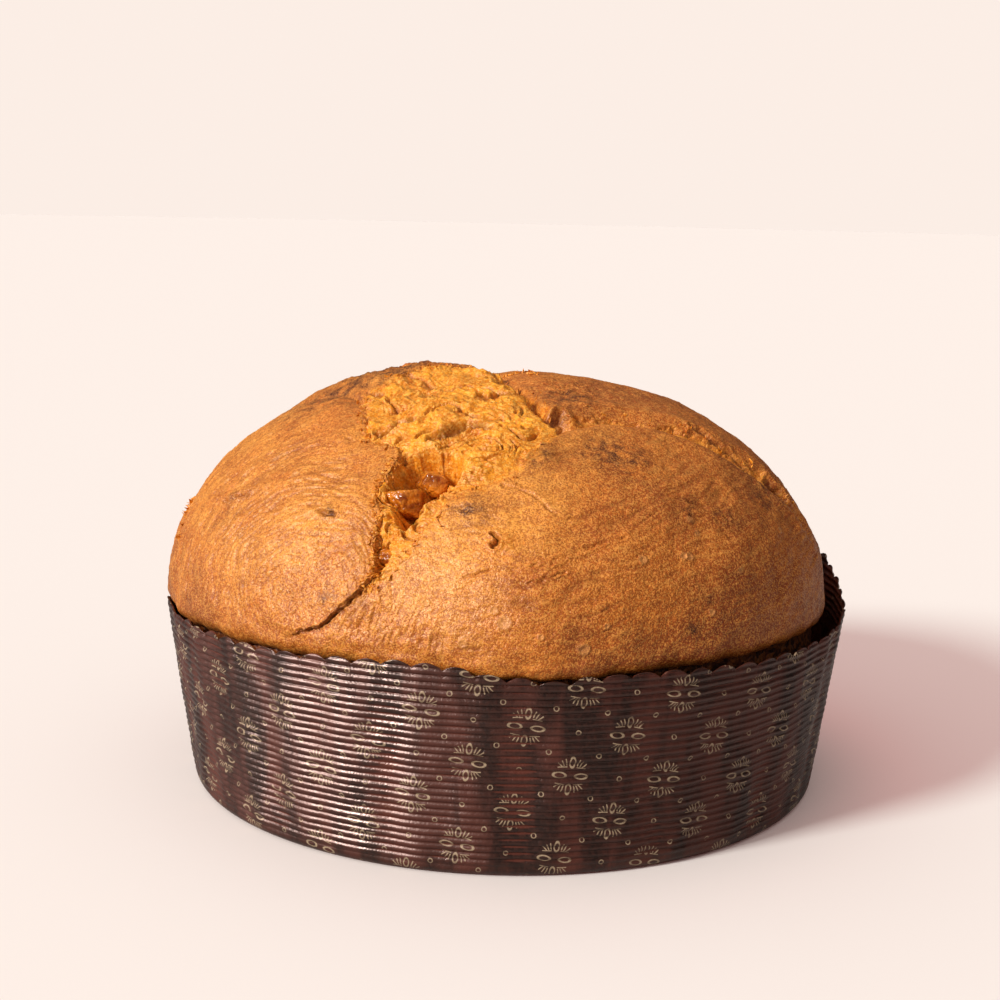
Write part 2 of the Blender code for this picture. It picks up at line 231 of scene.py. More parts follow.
# One quarter of a rosette and of the small rings by it. Ovals: middle, radii, line width.
PRINT_OVALS = (
    (0.0, 4.1, 0.75, 1.45, 0.17),
    (3.1, 0.0, 1.75, 0.8, 0.17),
    (ROSETTE_PITCH / 2, 0.0, 0.65, 0.65, 0.15),
    (ROSETTE_PITCH / 4, ROW_PITCH / 2, 0.65, 0.65, 0.15),
)
# Strokes: start, end, line width.
PRINT_STROKES = (
    (1.5, 3.2, 2.0, 4.9, 0.17),
    (2.2, 3.0, 3.0, 4.4, 0.16),
    (2.8, 2.7, 4.0, 3.7, 0.15),
    (1.4, 2.7, 3.9, 2.4, 0.13),
)


# --- numbers that vary over a surface -------------------------------------------------------------


def hump(distance, reach):
    """1 at no distance, falling smoothly to nothing past the reach: exp(-(distance/reach)^2)."""
    return np.exp(-((distance / reach) ** 2))


def smooth_step(x, low, high):
    """0 below low, 1 above high, and 3t^2 - 2t^3 between."""
    t = np.clip((x - low) / (high - low), 0.0, 1.0)
    return t * t * (3.0 - 2.0 * t)


def turn_from(angle, middle):
    """Degrees from middle to angle, from -180 to 180."""
    return (np.degrees(angle) - middle + 180.0) % 360.0 - 180.0


def bulge(angle, place):
    """A smooth rise round the turned shapes: place gives its middle, its spread and its size."""
    middle, spread, size = place
    return size * hump(turn_from(angle, middle), spread)


def scatter_value(ix, iy, seed):
    """A fixed number from 0 to 1 for each pair of whole numbers, by mixing their bits."""
    n = (ix * 374761393 + iy * 668265263 + seed * 974634777) & 0xFFFFFFFF
    n = ((n ^ (n >> 13)) * 1274126177) & 0xFFFFFFFF
    n = ((n ^ (n >> 15)) * 2246822519) & 0xFFFFFFFF
    return (n ^ (n >> 16)) / 4294967296.0


def noise(x, y, size, seed=0):
    """Gradient noise, about -1 to 1: slopes of random direction at the corners of squares of the given
    size, blended with 6t^5 - 15t^4 + 10t^3."""
    x, y = x / size, y / size
    ix, iy = np.floor(x).astype(np.int64), np.floor(y).astype(np.int64)
    fx, fy = x - ix, y - iy
    u = fx * fx * fx * (fx * (6.0 * fx - 15.0) + 10.0)
    v = fy * fy * fy * (fy * (6.0 * fy - 15.0) + 10.0)
    total = 0.0
    for cx, wx in ((0, 1.0 - u), (1, u)):
        for cy, wy in ((0, 1.0 - v), (1, v)):
            turn = 2.0 * math.pi * scatter_value(ix + cx, iy + cy, seed)
            total = total + wx * wy * (np.cos(turn) * (fx - cx) + np.sin(turn) * (fy - cy))
    return 1.5 * total


def rough(x, y, size, seed=0, octaves=4, gain=0.5):
    """Sum of noises, each half the size of the one before and gain times as strong."""
    total, strength = 0.0, 1.0
    for k in range(octaves):
        total = total + strength * noise(x, y, size / 2.0**k, seed + 17 * k)
        strength *= gain
    return total


def pores(x, y, size, seed=0, share=1.0):
    """Round pits at random places, one to a square of the given size: 1 in the middle, 0 from the edge.
    Their radius varies from 0.12 to 0.5 of the size, and only the given share of squares has one."""
    x, y = x / size, y / size
    ix, iy = np.floor(x).astype(np.int64), np.floor(y).astype(np.int64)
    deepest = np.zeros_like(x)
    for cx in (-1, 0, 1):
        for cy in (-1, 0, 1):
            jx, jy = ix + cx, iy + cy
            px, py = jx + scatter_value(jx, jy, seed), jy + scatter_value(jx, jy, seed + 1)
            radius = 0.12 + 0.38 * scatter_value(jx, jy, seed + 2) ** 2
            there = scatter_value(jx, jy, seed + 3) < share
            gap = np.hypot(x - px, y - py) / radius
            deepest = np.maximum(deepest, np.where(there, np.clip(1.0 - gap * gap, 0.0, 1.0), 0.0))
    return deepest


def to_route(x, y, route):
    """For each map point: distance to a route of straight pieces, side (1 left of its way, -1 right),
    and the vector to the nearest point of the route."""
    best = np.full(x.shape, np.inf)
    side, to_x, to_y = np.zeros_like(x), np.zeros_like(x), np.zeros_like(x)
    for (x0, y0), (x1, y1) in zip(route[:-1], route[1:]):
        sx, sy = x1 - x0, y1 - y0
        share = np.clip(((x - x0) * sx + (y - y0) * sy) / (sx * sx + sy * sy), 0.0, 1.0)
        gx, gy = x0 + share * sx - x, y0 + share * sy - y
        gap = np.hypot(gx, gy)
        nearer = gap < best
        best = np.where(nearer, gap, best)
        side = np.where(nearer, np.sign(sx * (y - y0) - sy * (x - x0)), side)
        to_x, to_y = np.where(nearer, gx, to_x), np.where(nearer, gy, to_y)
    return best, side, to_x, to_y


def is_inside(x, y, outline):
    """True for map points inside a closed outline, by counting its crossings."""
    inside = np.zeros(x.shape, dtype=bool)
    closed = np.vstack([outline, outline[:1]])
    for (x0, y0), (x1, y1) in zip(closed[:-1], closed[1:]):
        if y0 != y1:
            crossing = x0 + (y - y0) * (x1 - x0) / (y1 - y0)
            inside ^= (y >= min(y0, y1)) & (y < max(y0, y1)) & (x < crossing)
    return inside


# --- pieces ---------------------------------------------------------------------------------------


def add_to_scene(name, data):
    obj = bpy.data.objects.new(name, data)
    bpy.context.scene.collection.objects.link(obj)
    return obj


def add_piece(name, node, points, quads, normals=None, fields=None, material=None):
    """A mesh of the object's own, in place of a CAD node, with its points in millimetres. Quads are
    rows of four point numbers, or of three for triangles. Normals are one for each point."""
    mesh = bpy.data.meshes.new(name)
    mesh.vertices.add(len(points))
    mesh.vertices.foreach_set("co", (points * MM).astype(np.float32).ravel())
    mesh.loops.add(quads.size)
    mesh.loops.foreach_set("vertex_index", quads.astype(np.int32).ravel())
    mesh.polygons.add(len(quads))
    mesh.polygons.foreach_set("loop_start", np.arange(0, quads.size, quads.shape[1], dtype=np.int32))
    mesh.update(calc_edges=True)
    mesh.validate()
    mesh.shade_smooth()
    for label, values in (fields or {}).items():
        layer = mesh.attributes.new(label, "FLOAT", "POINT")
        layer.data.foreach_set("value", values.astype(np.float32).ravel())
    if normals is not None:
        mesh.normals_split_custom_set_from_vertices(normals.tolist())
    if material is not None:
        mesh.materials.append(material)
    obj = add_to_scene(name, mesh)
    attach(obj, "root")
    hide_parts(node)


def grid_quads(rows, columns):
    """Quads between the points of a grid with that many rows and columns of points."""
    start = (np.arange(rows - 1)[:, None] * columns + np.arange(columns - 1)[None, :]).ravel()
    return np.stack([start, start + columns, start + columns + 1, start + 1], axis=1)


def grid_normals(points):
    """Unit normals of a grid of points, from the cross product of its two central differences."""
    along, across = np.gradient(points, axis=0), np.gradient(points, axis=1)
    normal = np.cross(along, across)
    return normal / np.maximum(np.linalg.norm(normal, axis=-1, keepdims=True), 1e-12)


# --- the paper case -------------------------------------------------------------------------------


def wall_radius(height):
    return FOOT_RADIUS + WALL_FLARE * height


def rim_height(angle):
    """Height of the rim without its scallops: higher in front and at the right rear, and pressed down
    where the dough leans over it."""
    around = turn_from(angle, REAR_MIDDLE)
    rear = REAR_RISE * smooth_step(around, *REAR_START) * (1.0 - smooth_step(around, *REAR_END))
    return CASE_HEIGHT + sum(bulge(angle, p) for p in (RIM_FRONT, RIM_PRESSED, RIM_LEFT)) + rear


def scalloped_rim(angle):
    """The rim with its scallops, round arcs |sin| between sharp notches, cut a little unevenly."""
    arc = np.abs(np.sin(SCALLOPS / 2.0 * angle))
    uneven = 0.35 * noise(angle * WALL_MIDDLE, 0.0 * angle, 9.0, 71)
    return rim_height(angle) - SCALLOP_DEPTH * (1.0 - arc**0.8) + uneven


def case_section(angle, rim):
    """The band's cross-section as radius and height at every angle: from the flange's inner edge along
    the underside, round the foot, up the wall, over the rim and back down the inside. Flutes come later."""
    level = np.ones_like(angle)[None, :]
    rim = rim[None, :]
    turn = np.radians(np.linspace(-90.0, 0.0, 10))[:, None] * level
    flange = np.linspace(TURN_MIDDLE - FLANGE, TURN_MIDDLE, 14)[:, None] * level
    foot = (TURN_MIDDLE + FOOT_TURN * np.cos(turn[1:]), FOOT_TURN + FOOT_TURN * np.sin(turn[1:]))
    even = np.arange(FOOT_TURN + 0.3, EVEN_TO, FLUTE_PITCH / FLUTE_STEPS)[:, None] * level
    upper = EVEN_TO + (rim - EVEN_TO) * np.linspace(0.0, 1.0, 96)[:, None]
    up = np.concatenate([even, upper])
    lip_middle = wall_radius(rim) - PRESSED_PAPER * 0.5
    lip = [(lip_middle + 0.2, rim + 0.12), (lip_middle, rim + 0.18), (lip_middle - 0.2, rim + 0.12)]
    down = np.concatenate([upper[::-2], np.linspace(EVEN_TO, FOOT_TURN, 40)[1:, None] * level])
    inner_turn = FOOT_TURN - PRESSED_PAPER
    inner_foot = (TURN_MIDDLE + inner_turn * np.cos(turn[::-1]), FOOT_TURN + inner_turn * np.sin(turn[::-1]))
    parts = [(flange, 0.0 * flange), foot, (wall_radius(up), up), *lip,
             (wall_radius(down) - PRESSED_PAPER, down), inner_foot,
             (flange[::-1], PRESSED_PAPER + 0.0 * flange)]
    return np.concatenate([r for r, z in parts]), np.concatenate([z for r, z in parts])


def build_case_wall(material):
    """The whole band in four pieces: radius and height from case_section, plus flutes, round ridges
    |cos| with sharp valleys, and the soft dents that the wet dough pressed into the paper."""
    columns = SCALLOPS * 10
    angle = 2.0 * math.pi * np.arange(columns + 1) / columns + math.radians(90.0)
    radius, height = case_section(angle, scalloped_rim(angle))
    standing = smooth_step(height, 1.2, 5.0)
    flute = 2.0 * np.abs(np.cos(math.pi * height / FLUTE_PITCH)) ** 0.85 - 1.0
    radius = radius + 0.5 * FLUTE_DEPTH * standing * flute
    away = angle[None, :] * WALL_MIDDLE
    dents = 0.5 * noise(away, height * 0.25, 13.0, 31) + 0.25 * noise(away, height, 7.0, 32)
    waves = 0.22 * np.sin(angle * 34.0 + 1.5 * noise(away[0], 0.0 * away[0], 30.0, 33))
    radius = radius + standing * (dents + waves[None, :]) - 0.25 * standing
    points = np.stack([radius * np.cos(angle), radius * np.sin(angle), height], axis=-1)
    # The seam at the back takes its normals from both sides.
    normals = -grid_normals(np.concatenate([points[:, -2:-1], points, points[:, 1:2]], axis=1))[:, 1:-1]
    inset = wall_radius(height) - radius - 0.25
    fields = {
        "around": np.degrees(angle - math.radians(270.0))[None, :] + 0.0 * height,
        "standing": height,
        # A mask of the paper's inner side, for its painted bounce light.
        "inner_bounce": smooth_step(inset, 0.5 * PRESSED_PAPER, 0.9 * PRESSED_PAPER),
    }
    step = columns // WALL_PIECES
    for k in range(WALL_PIECES):
        part = slice(k * step, (k + 1) * step + 1)
        add_piece(f"paper_wall_{k + 1}", "case_wall", points[:, part].reshape(-1, 3),
                  grid_quads(len(points), step + 1)[:, ::-1], normals[:, part].reshape(-1, 3),
                  {label: field[:, part] for label, field in fields.items()}, material)


# --- the dough ------------------------------------------------------------------------------------


def shoulder_radius(angle):
    return SHOULDER_RADIUS + sum(bulge(angle, p) for p in (LEAN_FRONT, LEAN_LEFT, SHRINK_RIGHT))


def shoulder_height(angle):
    return SHOULDER_HEIGHT + bulge(angle, SHOULDER_RIGHT) + bulge(angle, SHOULDER_LEFT)


def plain_dome(x, y):
    """Points of the smooth dome over map points, and the way it faces. With s the distance from the
    crown and a = 90 degrees * s / CRUST_REACH, the radius is R sin a and the height B + H cos a. Past
    the shoulder the edge curls under on a circle of radius LIP_ROUND."""
    along = np.hypot(x, y)
    angle = np.arctan2(y, x)
    slope = np.minimum(along / CRUST_REACH, 1.0) * math.pi / 2.0
    curl = np.maximum(along - CRUST_REACH, 0.0) / LIP_ROUND
    radius, base = shoulder_radius(angle), shoulder_height(angle)
    rise = SHOULDER_HEIGHT + DOME_RISE - base
    flat = radius * np.sin(slope) - LIP_ROUND * (1.0 - np.cos(curl))
    height = base + rise * np.cos(slope) - LIP_ROUND * np.sin(curl)
    out, up = np.sin(slope) / radius, np.cos(slope) / rise
    length = np.hypot(out, up)
    out = np.where(curl > 0.0, np.cos(curl), out / length)
    up = np.where(curl > 0.0, -np.sin(curl), up / length)
    points = np.stack([flat * np.cos(angle), flat * np.sin(angle), height], axis=-1)
    facing = np.stack([out * np.cos(angle), out * np.sin(angle), up], axis=-1)
    return points, facing


def signed_gap(x, y, outline, *routes):
    """Distance to the nearest of the routes, positive inside the outline. With no route given it is the
    distance to the outline itself."""
    routes = routes or (np.vstack([outline, outline[:1]]),)
    gap = np.minimum.reduce([to_route(x, y, route)[0] for route in routes])
    return np.where(is_inside(x, y, outline), gap, -gap)


def strands(x, y, turn, size, seed):
    """Ridges 1 - 2|noise| drawn out five times along the given direction."""
    u, v = x * np.cos(turn) + y * np.sin(turn), -x * np.sin(turn) + y * np.cos(turn)
    return 1.0 - 2.0 * np.abs(noise(u * 0.2, v, size, seed))


def torn_crumb(x, y):
    """Relief of torn crumb: lumps, folded sheets, strands and a few pores. Also how deep a point is in a
    pore, for the painted shade in the pores, and the strands alone, for the colour."""
    wx, wy = x + 2.0 * noise(x, y, 9.0, 60), y + 2.0 * noise(x, y, 9.0, 61)
    lumps = rough(wx, wy, 12.0, 6, 2, 0.5)
    folds = 1.0 - 2.2 * np.abs(noise(wx, wy * 0.8, 7.0, 62))
    small = 1.0 - 2.0 * np.abs(noise(wx, wy, 3.2, 63))
    turn = math.radians(-52.0) - 0.8 * smooth_step(-x, 6.0, 34.0) + 0.5 * noise(x, y, 14.0, 4)
    where = smooth_step(noise(x, y, 8.0, 72), -0.5, 0.4)
    ridges = strands(wx, wy, turn, 1.7, 5)
    fine = strands(wx, wy, turn + 0.15, 0.9, 64)
    u, v = wx * np.cos(turn) + wy * np.sin(turn), -wx * np.sin(turn) + wy * np.cos(turn)
    tears = smooth_step(-noise(u * 0.35, v, 3.0, 8), 0.30, 0.55)
    holes = np.maximum(tears, 0.6 * pores(wx, wy * 0.8, 1.7, 65, 0.2))
    grit = 0.10 * noise(x, y, 0.8, 7)
    relief = 1.5 * lumps + 0.9 * folds + 0.42 * small + (0.3 + where) * (0.36 * ridges + 0.20 * fine) + grit
    threads = 0.42 + 0.30 * ridges + 0.22 * fine + 0.22 * folds
    return relief - 1.4 * holes, holes, threads


def tear_shape(x, y):
    """Where the crust is torn. inside and seam_inside are distances from the ragged edges of the tear and
    of the seam, positive inside, and torn and seam_torn go from 0 to 1 across those edges."""
    rag = 1.1 * noise(x, y, 5.0, 1) + 0.9 * noise(x, y, 2.4, 2) + 0.6 * noise(x, y, 1.1, 3)
    left, side, to_x, to_y = to_route(x, y, TEAR_LEFT)
    right = to_route(x, y, TEAR_RIGHT)[0]
    in_tear = is_inside(x, y, np.vstack([TEAR_LEFT, TEAR_RIGHT[::-1]]))
    gap = np.where(in_tear, 1.0, -1.0) * np.minimum(left, right)
    teeth = 0.9 * noise(x, y * 1.4, 1.5, 83) * hump(left, 4.0)
    inside = gap + rag + teeth
    seam_gap = signed_gap(x, y, np.vstack([SEAM_FRONT, SEAM_REAR[::-1]]), SEAM_FRONT, SEAM_REAR)
    seam_inside = seam_gap + 1.2 * rag - 0.4
    torn = smooth_step(inside, -0.2, 0.4)
    seam_torn = smooth_step(seam_inside, -0.4, 0.6) * (1.0 - torn)
    return SimpleNamespace(rag=rag, left=left, right=right, side=side, to_x=to_x, to_y=to_y, gap=gap,
                           inside=inside, seam_gap=seam_gap, seam_inside=seam_inside, torn=torn,
                           seam_torn=seam_torn, skin=1.0 - np.maximum(torn, seam_torn))


def crumb_relief(x, y, tear):
    """Height of the crumb in the tear and in the seam, and of the crust's lips beside them. The left lobe's
    edge stands over the crumb, the front lobe's runs out into it. Also the pores, for painted shade, and the
    strands."""
    near_left = smooth_step(tear.right - tear.left, -3.0, 3.0)
    h = 0.9 * near_left * hump(tear.gap + 5.0, 6.0)
    h += 1.1 * hump(tear.seam_gap + 4.0, 3.5) * (1.0 - tear.torn)
    crumb, pits, threads = torn_crumb(x, y)
    bank = smooth_step(tear.left, 0.0, 1.0) * smooth_step(tear.right, 0.0, 6.0)
    h += tear.torn * (crumb * (0.25 + 0.75 * bank) - 0.4 - 0.9 * near_left)
    seam_pits = np.maximum(pores(x * 0.6, y, 2.4, 10, 0.4), pores(x, y, 1.3, 73, 0.4))
    h += tear.seam_torn * (0.5 * rough(x * 0.5, y, 3.4, 9, 4, 0.6) - 0.8 * seam_pits - 0.7)
    return h, np.maximum(pits * tear.torn, seam_pits * tear.seam_torn), threads


def hollows(x, y, rag):
    """Depth of the cavity, with its pillar of crumb and its ledges, and of the lower hole. Also a mask of
    both, for the painted shade in them."""
    ragged = 0.9 * rag + 0.8 * noise(x, y, 3.0, 66)
    cavity = smooth_step(signed_gap(x, y, CAVITY) + ragged, -0.6, 3.2)
    wall = 4.0 * cavity * (1.0 - cavity)
    ledges = 0.05 * np.sin(16.0 * cavity + 4.0 * noise(x, y, 4.0, 82))
    cavity = cavity + wall * (ledges + 0.22 * noise(x, y, 2.0, 91))
    lower = smooth_step(signed_gap(x, y, LOWER_HOLE) + ragged, -0.3, 2.0)
    pillar = hump(np.hypot(x - PILLAR[0], (y - PILLAR[1]) / 1.6), 1.8)
    deep = CAVITY_DEPTH * (1.0 - 0.45 * pillar) + 2.0 * rough(x, y, 3.6, 74, 4, 0.6)
    return deep * cavity + LOWER_HOLE_DEPTH * lower, cavity + lower


def wrinkles(x, y, bend_x, bend_y):
    """Height of the fine wrinkles, each with a soft lip beside it, and a mask of them for the painted shade
    in their creases.
    """
    h, crease_shade = np.zeros_like(x), np.zeros_like(x)
    wander_x = 0.8 * bend_x + 0.8 * noise(x, y, 3.0, 92)
    wander_y = 0.8 * bend_y + 0.8 * noise(x, y, 3.0, 93)
    come_and_go = smooth_step(noise(x, y, 6.0, 94), -0.3, 0.4)
    for route, deep, wide in WRINKLES:
        gap = to_route(x + wander_x, y + wander_y, np.array(route, float))[0]
        mark = hump(gap + 0.5 * np.abs(noise(x, y, 1.6, 67)), wide)
        if deep < SHALLOW:
            mark = mark * come_and_go
        h += deep * (0.4 * hump(gap - 1.6 * wide, wide) - mark)
        crease_shade = np.maximum(crease_shade, mark * min(1.0, deep / 1.6))
    return h, crease_shade


def front_step(x, y, rag):
    """Height of the step at the tear's foot, where the left lobe leans over the front lobe, and a mask of the
    crease under it, for painted shade."""
    gap, side = to_route(x, y, FRONT_STEP)[:2]
    ahead = side * gap + 0.45 * rag
    step = np.where(ahead > 0.0, 0.9 * np.exp(-np.abs(ahead) / 6.0), -0.8 * np.exp(-np.abs(ahead) / 1.6))
    return step * hump(gap, 14.0), 0.7 * hump(gap + 0.5 * noise(x, y, 1.5, 68), 0.6)


def polar(x, y, middle):
    """Direction and distance of map points from a middle."""
    mx, my = middle
    return np.arctan2(y - my, x - mx), np.hypot(x - mx, y - my)


def skin_relief(x, y):
    """Height of the baked skin: unevenness, streaks that ring the dome, or the left lobe's belly, folds where
    it stretched, and grain. Also how strong the streaks and the folds are; the folds' mask paints shade into
    them."""
    h = 0.60 * rough(x, y, 24.0, 13, 3) + 0.20 * noise(x, y, 6.0, 21) + 0.12 * noise(x, y, 3.2, 86)
    around, reach = polar(x, y, RINGS_MIDDLE)
    reach = reach + 4.0 * noise(x, y, 22.0, 14)
    rings = noise(around * 40.0, reach * 4.0, 9.0, 15) + 0.8 * noise(around * 70.0, reach * 4.0, 5.0, 22)
    belly, belly_reach = polar(x, y, BELLY_MIDDLE)
    belly_reach = belly_reach + 3.0 * noise(x, y, 18.0, 87)
    arcs = noise(belly * 30.0, belly_reach * 4.0, 8.0, 88)
    arcs = arcs + 0.8 * noise(belly * 55.0, belly_reach * 4.0, 4.5, 89)
    lobe = smooth_step(-x - 0.3 * (y - BELLY_MIDDLE[1]), 20.0, 34.0)
    streaks = rings * (1.0 - lobe) + arcs * lobe
    ring_folds = np.abs(noise(around * 30.0, reach * 2.2, 8.0, 76))
    arc_folds = np.abs(noise(belly * 26.0, belly_reach * 2.4, 8.0, 90))
    folds = np.maximum(0.0, 1.0 - 3.0 * (ring_folds * (1.0 - lobe) + arc_folds * lobe))
    folds = folds * smooth_step(noise(x, y, 17.0, 75), -0.2, 0.5)
    h += (0.06 + 0.14 * lobe) * streaks - (0.20 + 0.12 * lobe) * folds
    h += 0.09 * noise(x, y, 1.9, 16) + 0.08 * noise(x, y, 0.95, 18)
    crown = hump(np.hypot((x + 24.0) / 1.6, y - 8.0), 14.0) + hump(np.hypot(x - 14.0, y + 18.0), 10.0)
    h += crown * (0.9 * rough(x, y, 5.0, 78, 4, 0.6) - 0.6 * np.abs(noise(x * 0.5, y, 2.6, 79)))
    return h, 0.5 + (0.45 + 0.45 * lobe) * streaks, folds


def blisters(x, y):
    """Height of the blisters, which stand up at their edges, and a mask of them."""
    h, mask = np.zeros_like(x), np.zeros_like(x)
    for (mx, my), radius in BLISTERS + scattered_blisters():
        near = (np.abs(x - mx) < 2.0 * radius) & (np.abs(y - my) < 2.0 * radius)
        gap = np.hypot(x[near] - mx, y[near] - my) / radius + 0.15 * noise(x[near], y[near], 1.4, 23)
        mask[near] = np.maximum(mask[near], 1.0 - smooth_step(gap, 0.7, 1.05))
        h[near] += 0.28 * (smooth_step(gap, 0.2, 0.8) - smooth_step(gap, 0.8, 1.2))
    return h, mask


def browning_and_shade(x, y, reach):
    """How brown the crust is, partly real browning and partly painted shade: darkest to the right and low
    down, where shade falls, and at the far left, palest by the tear.
    """
    # The darkening to the right and low down is painted shade as well as browning.
    toast_and_shade = 0.26 + 0.50 * smooth_step(x - 0.35 * y, 20.0, 120.0) + 0.18 * smooth_step(reach, 100.0, 140.0)
    toast_and_shade += 0.3 * smooth_step(-x, 88.0, 120.0)
    for (mx, my), spread, change in TOASTED:
        toast_and_shade += change * hump(np.hypot(x - mx, y - my), spread)
    return np.clip(toast_and_shade + 0.22 * noise(x, y, 30.0, 25) + 0.16 * noise(x, y, 9.0, 77), 0.0, 1.0)


def scorching(x, y):
    """How scorched the crust is, in spots about the SCORCHES."""
    scorch = sum(strength * hump(np.hypot(x - mx, y - my), reach) for (mx, my), reach, strength in SCORCHES)
    return np.clip(scorch * (0.6 + 1.1 * rough(x, y, 3.4, 24, 4, 0.6)), 0.0, 1.0)


def crust_relief(x, y):
    """Height of the crust and crumb over the smooth dome at each map point, sideways shift on the map,
    and the fields that colour it."""
    tear = tear_shape(x, y)
    whole = 1.0 - tear.torn
    h = sum(height * hump(np.hypot(x - mx, y - my), reach) for (mx, my), reach, height in SWELLINGS)
    crumb, pit, threads = crumb_relief(x, y, tear)
    depth, hollow_shade = hollows(x, y, tear.rag)
    h += crumb - depth

    bend_x, bend_y = 0.9 * noise(x, y, 7.0, 11), 0.9 * noise(x, y, 7.0, 12)
    route, deep, wide = CREVICE
    crevice = hump(to_route(x + bend_x, y + bend_y, route)[0], wide)
    h -= deep * crevice
    for route, deep, wide in CRACKS:
        gap = to_route(x + bend_x, y + bend_y, route)[0]
        h -= deep * (0.7 * hump(gap, wide) + 0.3 * hump(gap, 1.2)) * whole
    fine, crease_shade = wrinkles(x, y, bend_x, bend_y)
    step, step_crease_shade = front_step(x, y, tear.rag)
    h += fine + whole * step

    # A torn flap stands up beside the pit.
    flap_gap = np.hypot(x - TORN_FLAP[0], (y - TORN_FLAP[1]) / 1.6)
    flap = hump(flap_gap + 0.9 * noise(x, y, 2.0, 84), 2.3)
    h += flap * (0.8 * smooth_step(x, -3.2, -1.4) + 0.5 * rough(x, y, 2.6, 85, 3))

    skin, streaks, folds = skin_relief(x, y)
    blister_height, blister = blisters(x, y)
    h += tear.skin * (skin + blister_height)

    # The left lobe's edge leans out over the cavity.
    lean = (tear.side > 0.0) * hump(np.minimum(tear.inside, 0.0), 2.4) * (tear.inside < 0.5)
    close = smooth_step(-signed_gap(x, y, CAVITY), 8.0, 2.0)
    pull = 1.2 * lean * close / np.maximum(tear.left, 0.4)

    # The relief dies out at the crust's edge, where only the right seam runs on down to the rim.
    reach = np.hypot(x, y)
    fade = 1.0 - smooth_step(reach, FADE_FROM * CRUST_REACH, CRUST_REACH)
    h = h * fade + (1.0 - fade) * (0.20 * noise(x, y, 3.0, 19) + 0.75 * noise(x, y, 11.0, 20))
    gap = to_route(x + bend_x, y + bend_y, LOW_SEAM)[0]
    h -= (2.4 * hump(gap, 3.5) + 0.8 * hump(gap, 0.8)) * smooth_step(x, 98.0, 114.0)

    edge = tear.inside + 1.8 * noise(x, y, 3.4, 69)
    bare = np.where(tear.left < tear.right, smooth_step(edge, -0.6, 0.6), smooth_step(edge, -3.0, 1.5))
    seam_edge = tear.seam_inside + 1.4 * noise(x, y, 2.6, 70)
    fields = {
        "torn": np.maximum.reduce([bare, 0.5 * smooth_step(seam_edge, -1.2, 1.8), 0.8 * flap]),
        "hollow_shade": np.clip(hollow_shade + 0.6 * crevice, 0.0, 1.0),
        "pit": pit,
        "crease": np.maximum(crease_shade, whole * step_crease_shade),
        "scorch": scorching(x, y),
        "blister": blister * tear.skin,
        "toast_and_shade": browning_and_shade(x, y, reach),
        "streak": np.clip(np.where(tear.skin < 0.5, threads, streaks), 0.0, 1.0),
        "fold": np.clip(folds * tear.skin, 0.0, 1.0),
    }
    return h, tear.to_x * pull, tear.to_y * pull, fields


def scattered_blisters():
    """Small blisters at random places on the map, in the same form as BLISTERS."""
    pick = np.random.default_rng(17)
    turn = pick.uniform(0.0, 2.0 * math.pi, MORE_BLISTERS)
    reach = CRUST_REACH * np.sqrt(pick.uniform(0.12, 0.92, MORE_BLISTERS))
    radius = pick.uniform(0.6, 1.5, MORE_BLISTERS)
    return tuple(((r * math.cos(t), r * math.sin(t)), size) for r, t, size in zip(reach, turn, radius))


def dome_map(cells):
    """Map points of a square grid rolled onto a disc, ring for ring. The rings lie closer near the
    middle, by r (0.75 + 0.25 r^2), and the middle is drawn towards the tear."""
    side = np.linspace(-1.0, 1.0, cells + 1)
    a, b = np.meshgrid(side, side, indexing="ij")
    wide = np.abs(a) > np.abs(b)
    with np.errstate(divide="ignore", invalid="ignore"):
        turn = np.where(wide, math.pi / 4 * b / a, math.pi / 2 - math.pi / 4 * a / b)
    ring = np.where(wide, a, b)
    turn = np.where(ring == 0.0, 0.0, turn)
    reach = MAP_REACH * ring * (0.75 + 0.25 * ring * ring)
    pull = 1.0 - ring * ring
    return reach * np.cos(turn) + GRID_MIDDLE[0] * pull, reach * np.sin(turn) + GRID_MIDDLE[1] * pull


def build_crust(material, cells):
    """The whole dome: every map point goes to the smooth dome and out along its normal by the relief.
    The grid is then cut into blocks, which share the normals along their edges."""
    x, y = dome_map(cells)
    h, shift_x, shift_y, fields = crust_relief(x, y)
    points, facing = plain_dome(x + shift_x, y + shift_y)
    points = points + h[..., None] * facing
    normals = grid_normals(points)
    down, across = CRUST_BLOCKS
    for number in range(down * across):
        i, j = divmod(number, across)
        rows = slice(i * cells // down, (i + 1) * cells // down + 1)
        columns = slice(j * cells // across, (j + 1) * cells // across + 1)
        block = points[rows, columns]
        add_piece(f"crust_{number + 1}", "dough", block.reshape(-1, 3),
                  grid_quads(*block.shape[:2]), normals[rows, columns].reshape(-1, 3),
                  {label: field[rows, columns] for label, field in fields.items()}, material)


